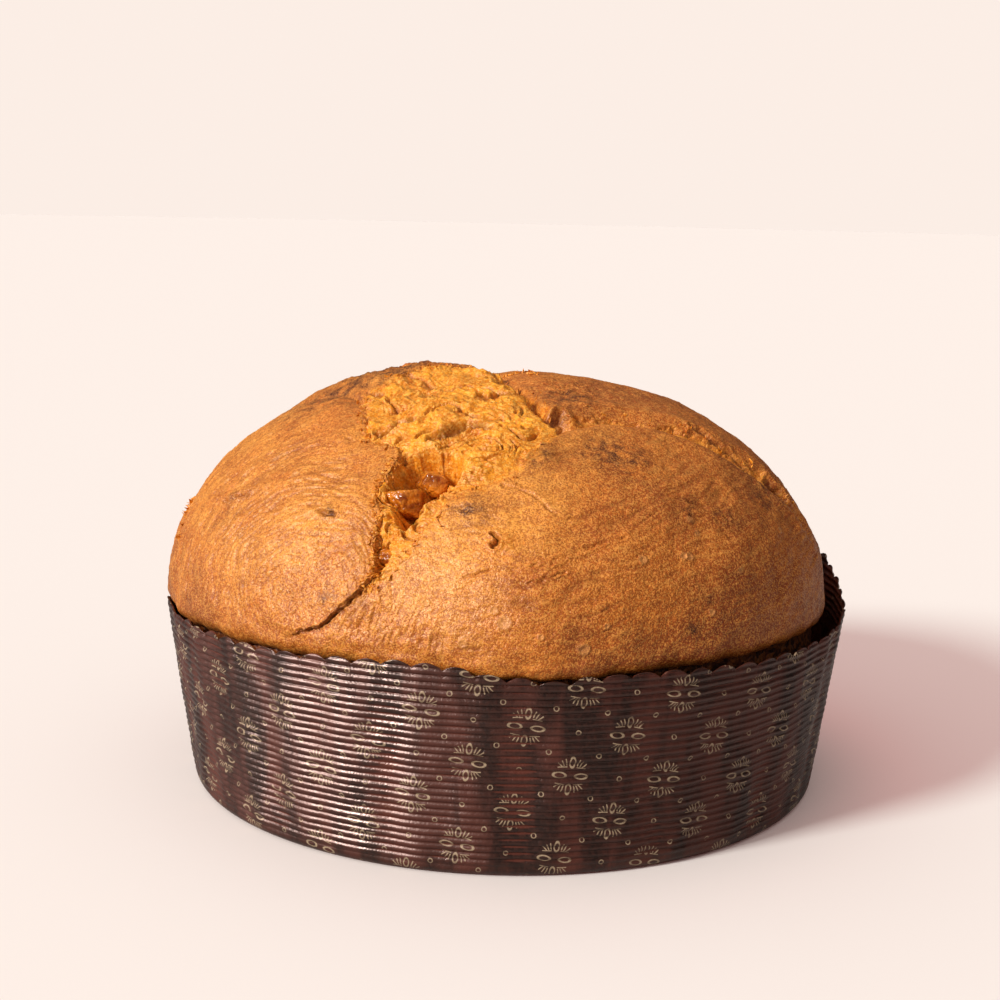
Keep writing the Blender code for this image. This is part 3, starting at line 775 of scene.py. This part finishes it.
def build_dough_side(material):
    """The side under the crust's lip: a profile of radius against height for every angle, from inside
    the lip down along the paper to the foot, closed underneath."""
    columns = 720
    angle = 2.0 * math.pi * np.arange(columns + 1) / columns
    radius, base = shoulder_radius(angle), shoulder_height(angle)

    def fitting(z):
        return wall_radius(z) - PAPER - FIT_GAP

    neck = np.minimum(radius - 4.2, fitting(base - 5.0) - 0.5)
    contact = SIDE_CONTACT - 3.0 * (fitting(base - 5.0) - neck)
    rows = [(radius - 9.0, base + 1.0), (radius - 7.0, base - 1.0)]
    for share in np.linspace(0.0, 1.0, 36):
        start = neck + 0.4 * (1.0 - share)
        level = base - 2.0 - (base - 2.0 - contact) * share
        rows.append((start + (fitting(contact) - start) * share**1.6, level))
    for share in np.linspace(0.98, 0.0, 20):
        level = SIDE_FOOT + (contact - SIDE_FOOT) * share
        rows.append((fitting(level), level))
    foot = PAPER + BASE_THICKNESS + 2.0 * FIT_GAP
    for share in np.linspace(0.2, 1.0, 5):
        rows.append((fitting(SIDE_FOOT) - 3.5 * share**2,
                     SIDE_FOOT - (SIDE_FOOT - foot) * math.sin(share * math.pi / 2)))
    for share in (0.7, 0.4, 0.0):
        rows.append(((fitting(foot) - 3.5) * share, foot))
    ones = np.ones_like(angle)
    r = np.stack([a * ones for a, z in rows])
    z = np.stack([b * ones for a, b in rows])
    bumps = 0.35 * rough(angle[None, :] * SIDE_MIDDLE, z * 1.5, 7.0, 41, 4)
    r = r + (bumps - 0.45) * smooth_step(z, 3.0, 12.0)
    r[:, -1], z[:, -1] = r[:, 0], z[:, 0]
    points = np.stack([r * np.cos(angle), r * np.sin(angle), z], axis=-1)
    # below gives the depth under the curl and shaded the right side: both steer painted shade.
    fields = {"below": base - z, "shaded": np.broadcast_to(smooth_step(np.cos(angle), -0.3, 0.4), z.shape)}
    add_piece("dough_side", "dough", points.reshape(-1, 3), grid_quads(*r.shape), None, fields,
              material)


# --- candied fruit and torn flakes ----------------------------------------------------------------


def ball(divisions):
    """Points and triangles of an even unit ball."""
    work = bmesh.new()
    bmesh.ops.create_icosphere(work, subdivisions=divisions, radius=1.0)
    points = np.array([v.co[:] for v in work.verts])
    faces = np.array([[v.index for v in f.verts] for f in work.faces])
    work.free()
    return points, faces


def build_fruit(material):
    """Cut lumps: a ball whose reach in each direction is the rounded smallest of 1 and of its flat
    cuts, (1 + sum (c / CHUNK_CUT_AT)^20)^(-1/20), with c the cosine to a cut, wrinkled by noise."""
    way, faces = ball(6)
    for label, seed in FRUIT_SEEDS.items():
        low, high = (np.array(c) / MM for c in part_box(label))
        cuts = np.random.default_rng(seed).normal(size=(CHUNK_CUTS, 3))
        cuts /= np.linalg.norm(cuts, axis=1)[:, None]
        facing = np.maximum(way @ cuts.T / CHUNK_CUT_AT, 0.0)
        reach = (1.0 + (facing**20).sum(axis=1)) ** (-1.0 / 20.0)
        flat = (way[:, 0] + 0.6 * way[:, 2], way[:, 1] - 0.5 * way[:, 2])
        reach = reach * (1.0 + 0.035 * noise(*flat, 0.35, seed) + 0.02 * noise(*flat, 0.14, seed + 1))
        shape = way * reach[:, None]
        shape = (shape - shape.min(0)) / (shape.max(0) - shape.min(0)) - 0.5
        points = (low + high) / 2.0 + CHUNK_LIFT + CHUNK_GROWTH * shape * (high - low)
        add_piece(label + "_chunk", label, points, faces, None, None, material)


def flake_places(pick):
    """Random map points along the FLAKE_ROUTES."""
    spots = []
    for route, share, spread in FLAKE_ROUTES:
        lengths = np.hypot(*np.diff(route, axis=0).T)
        at = np.sort(pick.uniform(0.0, lengths.sum(), int(FLAKES * share)))
        reached = np.concatenate([[0.0], np.cumsum(lengths)])
        spot = np.stack([np.interp(at, reached, route[:, k]) for k in (0, 1)], axis=1)
        spots.append(spot + pick.normal(0.0, spread, spot.shape))
    return np.concatenate(spots).T


def build_flakes(material):
    """Scraps of torn crust and crumb: flat bent ovals (x a, y b, z c + bend x^2), drawn out to a point,
    that stand askew on the edges of the tear and of the seams."""
    pick = np.random.default_rng(29)
    x, y = flake_places(pick)
    count = len(x)
    base, facing = plain_dome(x, y)
    base = base + (crust_relief(x, y)[0] + 0.15)[:, None] * facing
    sizes = [pick.uniform(*size, count) for size in (FLAKE_LENGTH, FLAKE_WIDTH, FLAKE_THICKNESS)]
    sizes = np.stack(sizes, axis=1)
    sizes[x < FAR_LEFT] *= FAR_LEFT_GROWTH
    one = facing + pick.normal(0.0, 0.9, (count, 3))
    one /= np.linalg.norm(one, axis=1)[:, None]
    two = np.cross(one, pick.normal(0.0, 1.0, (count, 3)))
    two /= np.linalg.norm(two, axis=1)[:, None]
    axes = np.stack([one, two, np.cross(one, two)], axis=1)
    unit, faces = ball(3)
    ripple = 1.0 + 0.25 * noise(unit[:, 0] * 2.0, unit[:, 1] * 2.0, 1.0, 81)
    local = unit[None] * ripple[None, :, None] * sizes[:, None, :]
    local[..., 1] *= 1.0 - 0.85 * smooth_step(unit[:, 0], -0.6, 1.0)
    local[..., 2] += pick.uniform(-0.35, 0.35, count)[:, None] * local[..., 0] ** 2
    points = base[:, None] + local @ axes
    numbers = (faces[None] + (np.arange(count) * len(unit))[:, None, None]).reshape(-1, 3)
    looks = (("torn", 0.7, 1.0), ("streak", 0.2, 0.9), ("toast_and_shade", 0.0, 0.4))
    fields = {label: np.repeat(pick.uniform(low, high, count), len(unit)) for label, low, high in looks}
    add_piece("torn_flakes", "dough", points.reshape(-1, 3), numbers, None, fields, material)


# --- materials ------------------------------------------------------------------------------------


class Tree:
    """Short ways to add nodes to a node tree. Values may be numbers, colours or sockets."""

    def __init__(self, tree):
        self.tree = tree

    def put(self, socket, value):
        if isinstance(value, bpy.types.NodeSocket):
            self.tree.links.new(value, socket)
        else:
            socket.default_value = value

    def node(self, kind, inputs=None, **settings):
        made = self.tree.nodes.new(kind)
        for key, value in settings.items():
            setattr(made, key, value)
        for key, value in (inputs or {}).items():
            self.put(made.inputs[key], value)
        return made

    def math(self, operation, *values, clamp=False):
        made = self.node("ShaderNodeMath", operation=operation, use_clamp=clamp)
        for socket, value in zip(made.inputs, values):
            self.put(socket, value)
        return made.outputs[0]

    def times(self, first, second):
        return self.math("MULTIPLY", first, second)

    def length(self, x, y):
        """sqrt(x^2 + y^2)"""
        return self.math("SQRT", self.math("ADD", self.times(x, x), self.times(y, y)))

    def between(self, value, low, high, to_low=0.0, to_high=1.0):
        """value from low to high, smoothly, becomes to_low to to_high."""
        return self.node("ShaderNodeMapRange", {"Value": value, "From Min": low, "From Max": high,
                                                "To Min": to_low, "To Max": to_high},
                         interpolation_type="SMOOTHSTEP").outputs[0]

    def mix(self, share, first, second):
        return self.node("ShaderNodeMix", {0: share, 6: first, 7: second}, data_type="RGBA",
                         clamp_factor=True).outputs[2]

    def stain(self, colour, *stains):
        """The colour with each stain, a mask and its own colour, laid over it in turn."""
        for mask, own in stains:
            colour = self.mix(mask, colour, (*own, 1))
        return colour

    def field(self, label):
        return self.node("ShaderNodeAttribute", attribute_name=label).outputs["Fac"]


def new_group(name, inputs, outputs):
    """An empty node group with the named sockets. Inputs are (name, kind, value)."""
    tree = bpy.data.node_groups.new(name, "ShaderNodeTree")
    for label, kind, value in inputs:
        socket = tree.interface.new_socket(label, in_out="INPUT", socket_type=kind)
        if value is not None:
            socket.default_value = value
    for label, kind in outputs:
        tree.interface.new_socket(label, in_out="OUTPUT", socket_type=kind)
    build = Tree(tree)
    return build, build.node("NodeGroupInput"), build.node("NodeGroupOutput")


def grain_group():
    """Grain: fine speckles, each a cell with a shade of its own, as a mask from 0 to 1 and as a height."""
    g, given, out = new_group("Grain",
                              [("Place", "NodeSocketVector", None), ("Size", "NodeSocketFloat", 1.0)],
                              [("Mask", "NodeSocketFloat"), ("Height", "NodeSocketFloat")])
    scale = g.math("DIVIDE", 1.0 / MM, given.outputs["Size"])
    cells = g.node("ShaderNodeTexVoronoi", {"Vector": given.outputs["Place"], "Scale": scale},
                   feature="SMOOTH_F1")
    cells.inputs["Smoothness"].default_value = 0.35
    shade = g.node("ShaderNodeSeparateColor", {0: cells.outputs["Color"]}).outputs[0]
    g.put(out.inputs["Mask"], g.between(shade, 0.15, 0.85))
    g.put(out.inputs["Height"], g.math("SUBTRACT", shade, cells.outputs["Distance"]))
    return g.tree


def blotch_group():
    """Blotches: soft uneven patches, as a mask from 0 to 1."""
    g, given, out = new_group(
        "Blotches",
        [("Place", "NodeSocketVector", None), ("Size", "NodeSocketFloat", 20.0),
         ("Low", "NodeSocketFloat", 0.4), ("High", "NodeSocketFloat", 0.6)],
        [("Mask", "NodeSocketFloat")],
    )
    patch = g.node("ShaderNodeTexNoise", {"Vector": given.outputs["Place"],
                                          "Scale": g.math("DIVIDE", 1.0 / MM, given.outputs["Size"]),
                                          "Detail": 4.0, "Roughness": 0.55, "Distortion": 0.4}).outputs[0]
    g.put(out.inputs["Mask"], g.between(patch, given.outputs["Low"], given.outputs["High"]))
    return g.tree


def stroke(t, x, y, x0, y0, x1, y1, wide):
    """Mask of a straight stroke with round ends, from (x0, y0) to (x1, y1)."""
    sx, sy = x1 - x0, y1 - y0
    px, py = t.math("SUBTRACT", x, x0), t.math("SUBTRACT", y, y0)
    along = t.math("ADD", t.times(px, sx), t.times(py, sy))
    share = t.math("DIVIDE", along, sx * sx + sy * sy, clamp=True)
    gap = t.length(t.math("SUBTRACT", px, t.times(share, sx)), t.math("SUBTRACT", py, t.times(share, sy)))
    return t.between(gap, wide * 0.75, wide * 1.25, 1.0, 0.0)


def oval_ring(t, x, y, mx, my, rx, ry, wide):
    """Mask of the outline of an oval."""
    px, py = t.math("DIVIDE", t.math("SUBTRACT", x, mx), rx), t.math("DIVIDE", t.math("SUBTRACT", y, my), ry)
    gap = t.times(t.math("ABSOLUTE", t.math("SUBTRACT", t.length(px, py), 1.0)), min(rx, ry))
    return t.between(gap, wide * 0.75, wide * 1.25, 1.0, 0.0)


def print_group():
    """Printed ornament: rows of plain rosettes, staggered, with small rings between them. x and y are
    millimetres round the case and up it."""
    g, given, out = new_group("Printed rosettes",
                              [("Across", "NodeSocketFloat", 0.0), ("Up", "NodeSocketFloat", 0.0)],
                              [("Mask", "NodeSocketFloat")])
    start_x, start_y = PRINT_AT
    x, up = given.outputs["Across"], given.outputs["Up"]
    y = g.math("SUBTRACT", g.math("ADD", up, g.times(x, PRINT_SLOPE)), start_y)
    row = g.math("ROUND", g.math("DIVIDE", y, ROW_PITCH))
    row_y = g.math("SUBTRACT", y, g.times(row, ROW_PITCH))
    lean = g.math("ADD", g.times(y, PRINT_LEAN), g.times(row, ROSETTE_PITCH / 2))
    shifted = g.math("SUBTRACT", g.math("SUBTRACT", x, start_x), lean)
    place = g.math("ROUND", g.math("DIVIDE", shifted, ROSETTE_PITCH))
    row_x = g.math("SUBTRACT", shifted, g.times(place, ROSETTE_PITCH))
    # Each quarter of a rosette mirrors the others.
    quarter = g.math("ABSOLUTE", row_x), g.math("ABSOLUTE", row_y)
    total = 0.0
    for draw, shapes in ((oval_ring, PRINT_OVALS), (stroke, PRINT_STROKES)):
        for shape in shapes:
            total = g.math("MAXIMUM", total, draw(g, *quarter, *shape))
    g.put(out.inputs["Mask"], total)
    return g.tree


GROUPS = {"grain": grain_group(), "blotches": blotch_group(), "print": print_group()}


def new_material(name):
    """A material with a Principled shader, its node tree, and Object coordinates."""
    made = bpy.data.materials.new(name)
    made.use_nodes = True
    tree = Tree(made.node_tree)
    shader = made.node_tree.nodes["Principled BSDF"]
    place = tree.node("ShaderNodeTexCoord").outputs["Object"]
    return made, tree, shader, place


def grain(t, place, size):
    made = t.node("ShaderNodeGroup", node_tree=GROUPS["grain"])
    t.put(made.inputs["Place"], place)
    t.put(made.inputs["Size"], size)
    return made.outputs["Mask"], made.outputs["Height"]


def blotches(t, place, size, low=0.4, high=0.6):
    made = t.node("ShaderNodeGroup", node_tree=GROUPS["blotches"])
    for key, value in (("Place", place), ("Size", size), ("Low", low), ("High", high)):
        t.put(made.inputs[key], value)
    return made.outputs["Mask"]


def bump(t, height, distance):
    return t.node("ShaderNodeBump", {"Height": height, "Distance": distance * MM}).outputs["Normal"]


def crust_material():
    """Baked skin and torn crumb in one, told apart by the fields of build_crust."""
    made, t, shader, place = new_material("baked dough")
    toast_and_shade, streak = t.field("toast_and_shade"), t.field("streak")
    speck, speck_height = grain(t, place, 0.56)
    fine, fine_height = grain(t, place, 0.34)
    patch = blotches(t, place, 13.0, 0.38, 0.62)
    small_patch = blotches(t, place, 3.0, 0.44, 0.66)
    skin = t.stain(
        (0.80, 0.290, 0.036, 1),
        # The toast field carries painted shade on the right and low down, besides browning.
        (t.between(toast_and_shade, 0.0, 0.5), (0.62, 0.160, 0.014)),
        (t.between(toast_and_shade, 0.4, 1.0), (0.26, 0.046, 0.007)),
        (t.times(patch, 0.28), (0.40, 0.085, 0.008)),
        (t.times(small_patch, 0.30), (0.26, 0.054, 0.006)),
        (t.between(streak, 0.5, 1.0, 0.0, 0.26), (0.90, 0.40, 0.075)),
        (t.between(streak, 0.0, 0.5, 0.28, 0.0), (0.22, 0.045, 0.006)),
        (t.between(speck, 0.0, 0.5, 0.24, 0.0), (0.24, 0.048, 0.006)),
        (t.between(fine, 0.4, 1.0, 0.0, 0.34), (1.0, 0.50, 0.11)),
        (t.between(fine, 0.0, 0.4, 0.38, 0.0), (0.18, 0.036, 0.005)),
        (t.times(t.field("blister"), 0.40), (0.70, 0.34, 0.11)),
        # Painted shade in the folds.
        (t.times(t.field("fold"), 0.35), (0.16, 0.032, 0.005)),
        (t.times(t.field("scorch"), t.between(fine, 0.0, 1.0, 0.95, 0.55)), (0.075, 0.018, 0.007)),
    )
    crumb = t.stain(
        (0.50, 0.092, 0.002, 1),
        (streak, (1.0, 0.385, 0.016)),
        (t.times(patch, 0.40), (0.46, 0.115, 0.005)),
        (t.times(small_patch, 0.35), (0.40, 0.090, 0.004)),
        (t.between(fine, 0.0, 0.5, 0.36, 0.0), (0.34, 0.066, 0.003)),
        # Painted glints: the crumb's brightest specks stand in for highlights.
        (t.between(speck, 0.5, 1.0, 0.0, 0.40), (1.0, 0.60, 0.12)),
        # Painted shade in the crumb's pores and the seam's pits.
        (t.times(t.field("pit"), 0.65), (0.24, 0.046, 0.003)),
        # Painted shade, a deeper amber, in the cavity and the crevice.
        (t.times(t.field("hollow_shade"), 0.20), (0.72, 0.190, 0.007)),
    )
    colour = t.mix(t.field("torn"), skin, crumb)
    # Painted shade darkens the creases and the crease under the front step.
    colour = t.stain(colour, (t.times(t.field("crease"), 0.75), (0.12, 0.024, 0.004)))
    t.put(shader.inputs["Base Color"], colour)
    t.put(shader.inputs["Roughness"], t.between(fine, 0.0, 1.0, 0.50, 0.36))
    shader.inputs["Specular IOR Level"].default_value = 0.5
    shader.inputs["Specular Tint"].default_value = (1.0, 0.84, 0.70, 1)
    height = t.math("ADD", speck_height, t.times(fine_height, 0.6))
    t.put(shader.inputs["Normal"], bump(t, height, 0.075))
    return made


def dough_side_material():
    """Softer, redder crust below the curl; painted shade makes it nearly black in the fold under it and on
    the shaded right side.
    """
    made, t, shader, place = new_material("dough side")
    speck, height = grain(t, place, 1.2)
    # The nearly black base is painted shade in the fold under the curl, and the shaded field paints shade on
    # the right side.
    colour = t.stain(
        (0.06, 0.011, 0.003, 1),
        (t.between(t.field("below"), 5.0, 8.0), (0.44, 0.10, 0.008)),
        (t.field("shaded"), (0.014, 0.002, 0.001)),
        (t.times(blotches(t, place, 6.0), 0.65), (0.10, 0.018, 0.003)),
        (t.times(speck, 0.25), (0.55, 0.17, 0.02)),
    )
    t.put(shader.inputs["Base Color"], colour)
    shader.inputs["Roughness"].default_value = 0.5
    t.put(shader.inputs["Normal"], bump(t, height, 0.35))
    return made


def case_material():
    """Dark, slightly glossy baking paper with grease-darkened bands and a pale gold print, and painted bounce
    light, redder, on its inner side.
    """
    made, t, shader, place = new_material("printed paper")
    across = t.times(t.field("around"), math.radians(1.0) * WALL_MIDDLE)
    up = t.field("standing")
    ornament = t.node("ShaderNodeGroup", node_tree=GROUPS["print"])
    t.put(ornament.inputs["Across"], across)
    t.put(ornament.inputs["Up"], up)
    # Bands are drawn out up the wall.
    where = t.node("ShaderNodeCombineXYZ", {"X": t.times(across, MM), "Y": t.times(up, 0.22 * MM)}).outputs[0]
    band = blotches(t, where, 12.0, 0.40, 0.64)
    speck, speck_height = grain(t, place, 0.9)
    worn = t.times(ornament.outputs["Mask"], t.between(speck, 0.0, 0.6, 0.75, 1.0))
    paper = t.stain(
        (0.008, 0.002, 0.001, 1),
        (band, (0.074, 0.014, 0.007)),
        (t.times(speck, 0.25), (0.080, 0.022, 0.013)),
        (worn, (0.34, 0.25, 0.155)),
        # The inner side is painted redder, a painted bounce light from the crust.
        (t.field("inner_bounce"), (0.10, 0.020, 0.010)),
    )
    t.put(shader.inputs["Base Color"], paper)
    t.put(shader.inputs["Roughness"], t.between(band, 0.0, 1.0, 0.30, 0.42))
    shader.inputs["Specular IOR Level"].default_value = 1.0
    shader.inputs["Specular Tint"].default_value = (1.0, 0.74, 0.67, 1)
    t.put(shader.inputs["Normal"], bump(t, speck_height, 0.035))
    return made


def base_material():
    """Plain brown paper with grease spots."""
    made, t, shader, place = new_material("base paper")
    speck, height = grain(t, place, 1.2)
    paper = t.stain((0.030, 0.014, 0.011, 1), (blotches(t, place, 30.0), (0.085, 0.035, 0.024)),
                    (t.times(speck, 0.35), (0.12, 0.06, 0.045)))
    t.put(shader.inputs["Base Color"], paper)
    shader.inputs["Roughness"].default_value = 0.55
    t.put(shader.inputs["Normal"], bump(t, height, 0.15))
    return made


def fruit_material():
    """Candied orange peel, dark amber, wet with syrup."""
    made, t, shader, place = new_material("candied fruit")
    speck, height = grain(t, place, 1.1)
    colour = t.stain((0.24, 0.042, 0.003, 1), (blotches(t, place, 4.0), (0.66, 0.20, 0.012)),
                     (t.times(speck, 0.2), (0.75, 0.30, 0.03)))
    t.put(shader.inputs["Base Color"], colour)
    shader.inputs["Roughness"].default_value = 0.22
    shader.inputs["Coat Weight"].default_value = 0.3
    shader.inputs["Coat Roughness"].default_value = 0.12
    t.put(shader.inputs["Normal"], bump(t, height, 0.25))
    return made


# --- stage ----------------------------------------------------------------------------------------

FLOOR_COLOUR = (0.638, 0.80, 0.76, 1)
# By the foot the floor's colour is redder in place of the painted glow.
FLOOR_BY_FOOT = (0.857, 0.80, 0.76, 1)
FLOOR_GLOW = (0.248, 0.0, 0.0, 1)  # a painted red glow, which keeps the shadow on the table rosy, but not close by the foot
GLOW_RADII = (0.090, 0.140)
FLOOR_BOUNCE = (0.36, 0.33, 0.31, 1)  # the paler table is flagged off from the object
BACKDROP_COLOUR = (0.972, 0.855, 0.786, 1)
FILL_HIGH = (1.10, 1.0, 0.97, 1)  # the fill from above and left, and from low down at the right
FILL_LOW = (0.19, 0.155, 0.15, 1)
FILL_STRENGTH = 0.74
GLOSS_SHARE = 0.26  # how much of the fill shows in reflections
FILL_FROM = (-0.42, -0.22, 0.88)
# Lamps: name, strength, colour, degrees round the object, above the table and across, and whether it
# lights everything or shows in glosses alone.
LAMPS = (
    ("key", 3.3, (1.0, 0.975, 0.94), -143.0, 29.0, 12.0, True),
    ("sheen", 2.1, (1.0, 0.93, 0.90), -157.0, 20.0, 24.0, False),
)


FLOOR_RADIUS = 8.0  # metres
CAMERA_TARGET = (-2.8, 0.0, 88.8)  # millimetres
CAMERA_AWAY = 560.0
CAMERA_DOWN = 10.58  # degrees
CAMERA_ROLL = 1.22
CAMERA_LENS = 60.88
CAMERA_SENSOR = 36.0


def build_floor():
    """A round table top. Seen by the camera it is paler than what it throws back on the object, and away from
    the foot it glows a little red, painted light that keeps its shadow rosy.
    """
    mesh = bpy.data.meshes.new("floor")
    corners = 64
    turn = [2.0 * math.pi * k / corners for k in range(corners)]
    mesh.from_pydata([(FLOOR_RADIUS * math.cos(a), FLOOR_RADIUS * math.sin(a), 0.0) for a in turn], [],
                     [tuple(range(corners))])
    made, t, shader, place = new_material("floor")
    seen = t.node("ShaderNodeLightPath").outputs["Is Camera Ray"]
    away = t.node("ShaderNodeVectorMath", {0: place}, operation="LENGTH").outputs["Value"]
    glowing = t.between(away, *GLOW_RADII)
    t.put(shader.inputs["Base Color"], t.mix(seen, FLOOR_BOUNCE, t.mix(glowing, FLOOR_BY_FOOT, FLOOR_COLOUR)))
    shader.inputs["Roughness"].default_value = 1.0
    shader.inputs["Specular IOR Level"].default_value = 0.0
    # The emission is painted light, a red glow for camera rays away from the foot.
    shader.inputs["Emission Color"].default_value = FLOOR_GLOW
    t.put(shader.inputs["Emission Strength"], t.times(seen, glowing))
    mesh.materials.append(made)
    add_to_scene("floor", mesh)


def build_light():
    """A low, fairly large key light from the front left, and an even fill. What the camera sees past
    the floor's edge has the lit floor's colour."""
    world = bpy.data.worlds.new("studio")
    bpy.context.scene.world = world
    world.use_nodes = True
    t = Tree(world.node_tree)
    way = t.node("ShaderNodeTexCoord").outputs["Generated"]
    toward = t.node("ShaderNodeVectorMath", {0: way, 1: FILL_FROM}, operation="DOT_PRODUCT").outputs["Value"]
    fill = world.node_tree.nodes["Background"]
    t.put(fill.inputs[0], t.mix(t.between(toward, -0.35, 0.9), FILL_LOW, FILL_HIGH))
    path = t.node("ShaderNodeLightPath")
    gloss = path.outputs["Is Glossy Ray"]
    t.put(fill.inputs[1], t.between(gloss, 0.0, 1.0, FILL_STRENGTH, FILL_STRENGTH * GLOSS_SHARE))
    seen = t.node("ShaderNodeBackground", {0: BACKDROP_COLOUR, 1: 1.0})
    either = t.node("ShaderNodeMixShader", {0: path.outputs["Is Camera Ray"], 1: fill.outputs[0],
                                            2: seen.outputs[0]})
    t.put(world.node_tree.nodes["World Output"].inputs[0], either.outputs[0])
    for label, strength, colour, turn, lift, size, lights_all in LAMPS:
        lamp = bpy.data.lights.new(label, "SUN")
        lamp.energy = strength
        lamp.color = colour
        lamp.angle = math.radians(size)
        turn, lift = math.radians(turn), math.radians(lift)
        way = Vector((math.cos(turn) * math.cos(lift), math.sin(turn) * math.cos(lift), math.sin(lift)))
        obj = add_to_scene(label, lamp)
        obj.rotation_mode = "QUATERNION"
        obj.rotation_quaternion = way.to_track_quat("Z", "Y")
        obj.visible_diffuse = lights_all


def build_camera():
    """Looks at a point above the middle of the case, from in front and a little above, and leans a bit."""
    down, roll = math.radians(CAMERA_DOWN), math.radians(CAMERA_ROLL)
    ahead = Vector((0.0, math.cos(down), -math.sin(down)))
    right = Vector((1.0, 0.0, 0.0))
    up = right.cross(ahead)
    side = right * math.cos(roll) + up * math.sin(roll)
    top = up * math.cos(roll) - right * math.sin(roll)
    where = (Vector(CAMERA_TARGET) - ahead * CAMERA_AWAY) * MM
    lens = bpy.data.cameras.new("camera")
    lens.sensor_width = CAMERA_SENSOR
    lens.lens = CAMERA_LENS
    lens.clip_start = 0.01
    camera = add_to_scene("camera", lens)
    camera.matrix_world = Matrix.Translation(where) @ Matrix((side, top, -ahead)).transposed().to_4x4()
    bpy.context.scene.camera = camera


baked = crust_material()
build_crust(baked, CRUST_CELLS)
build_flakes(baked)
build_dough_side(dough_side_material())
build_case_wall(case_material())
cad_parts["case_base"].data.materials.clear()
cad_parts["case_base"].data.materials.append(base_material())
build_fruit(fruit_material())
build_floor()
build_light()
build_camera()
bpy.context.scene.view_settings.view_transform = "Standard"
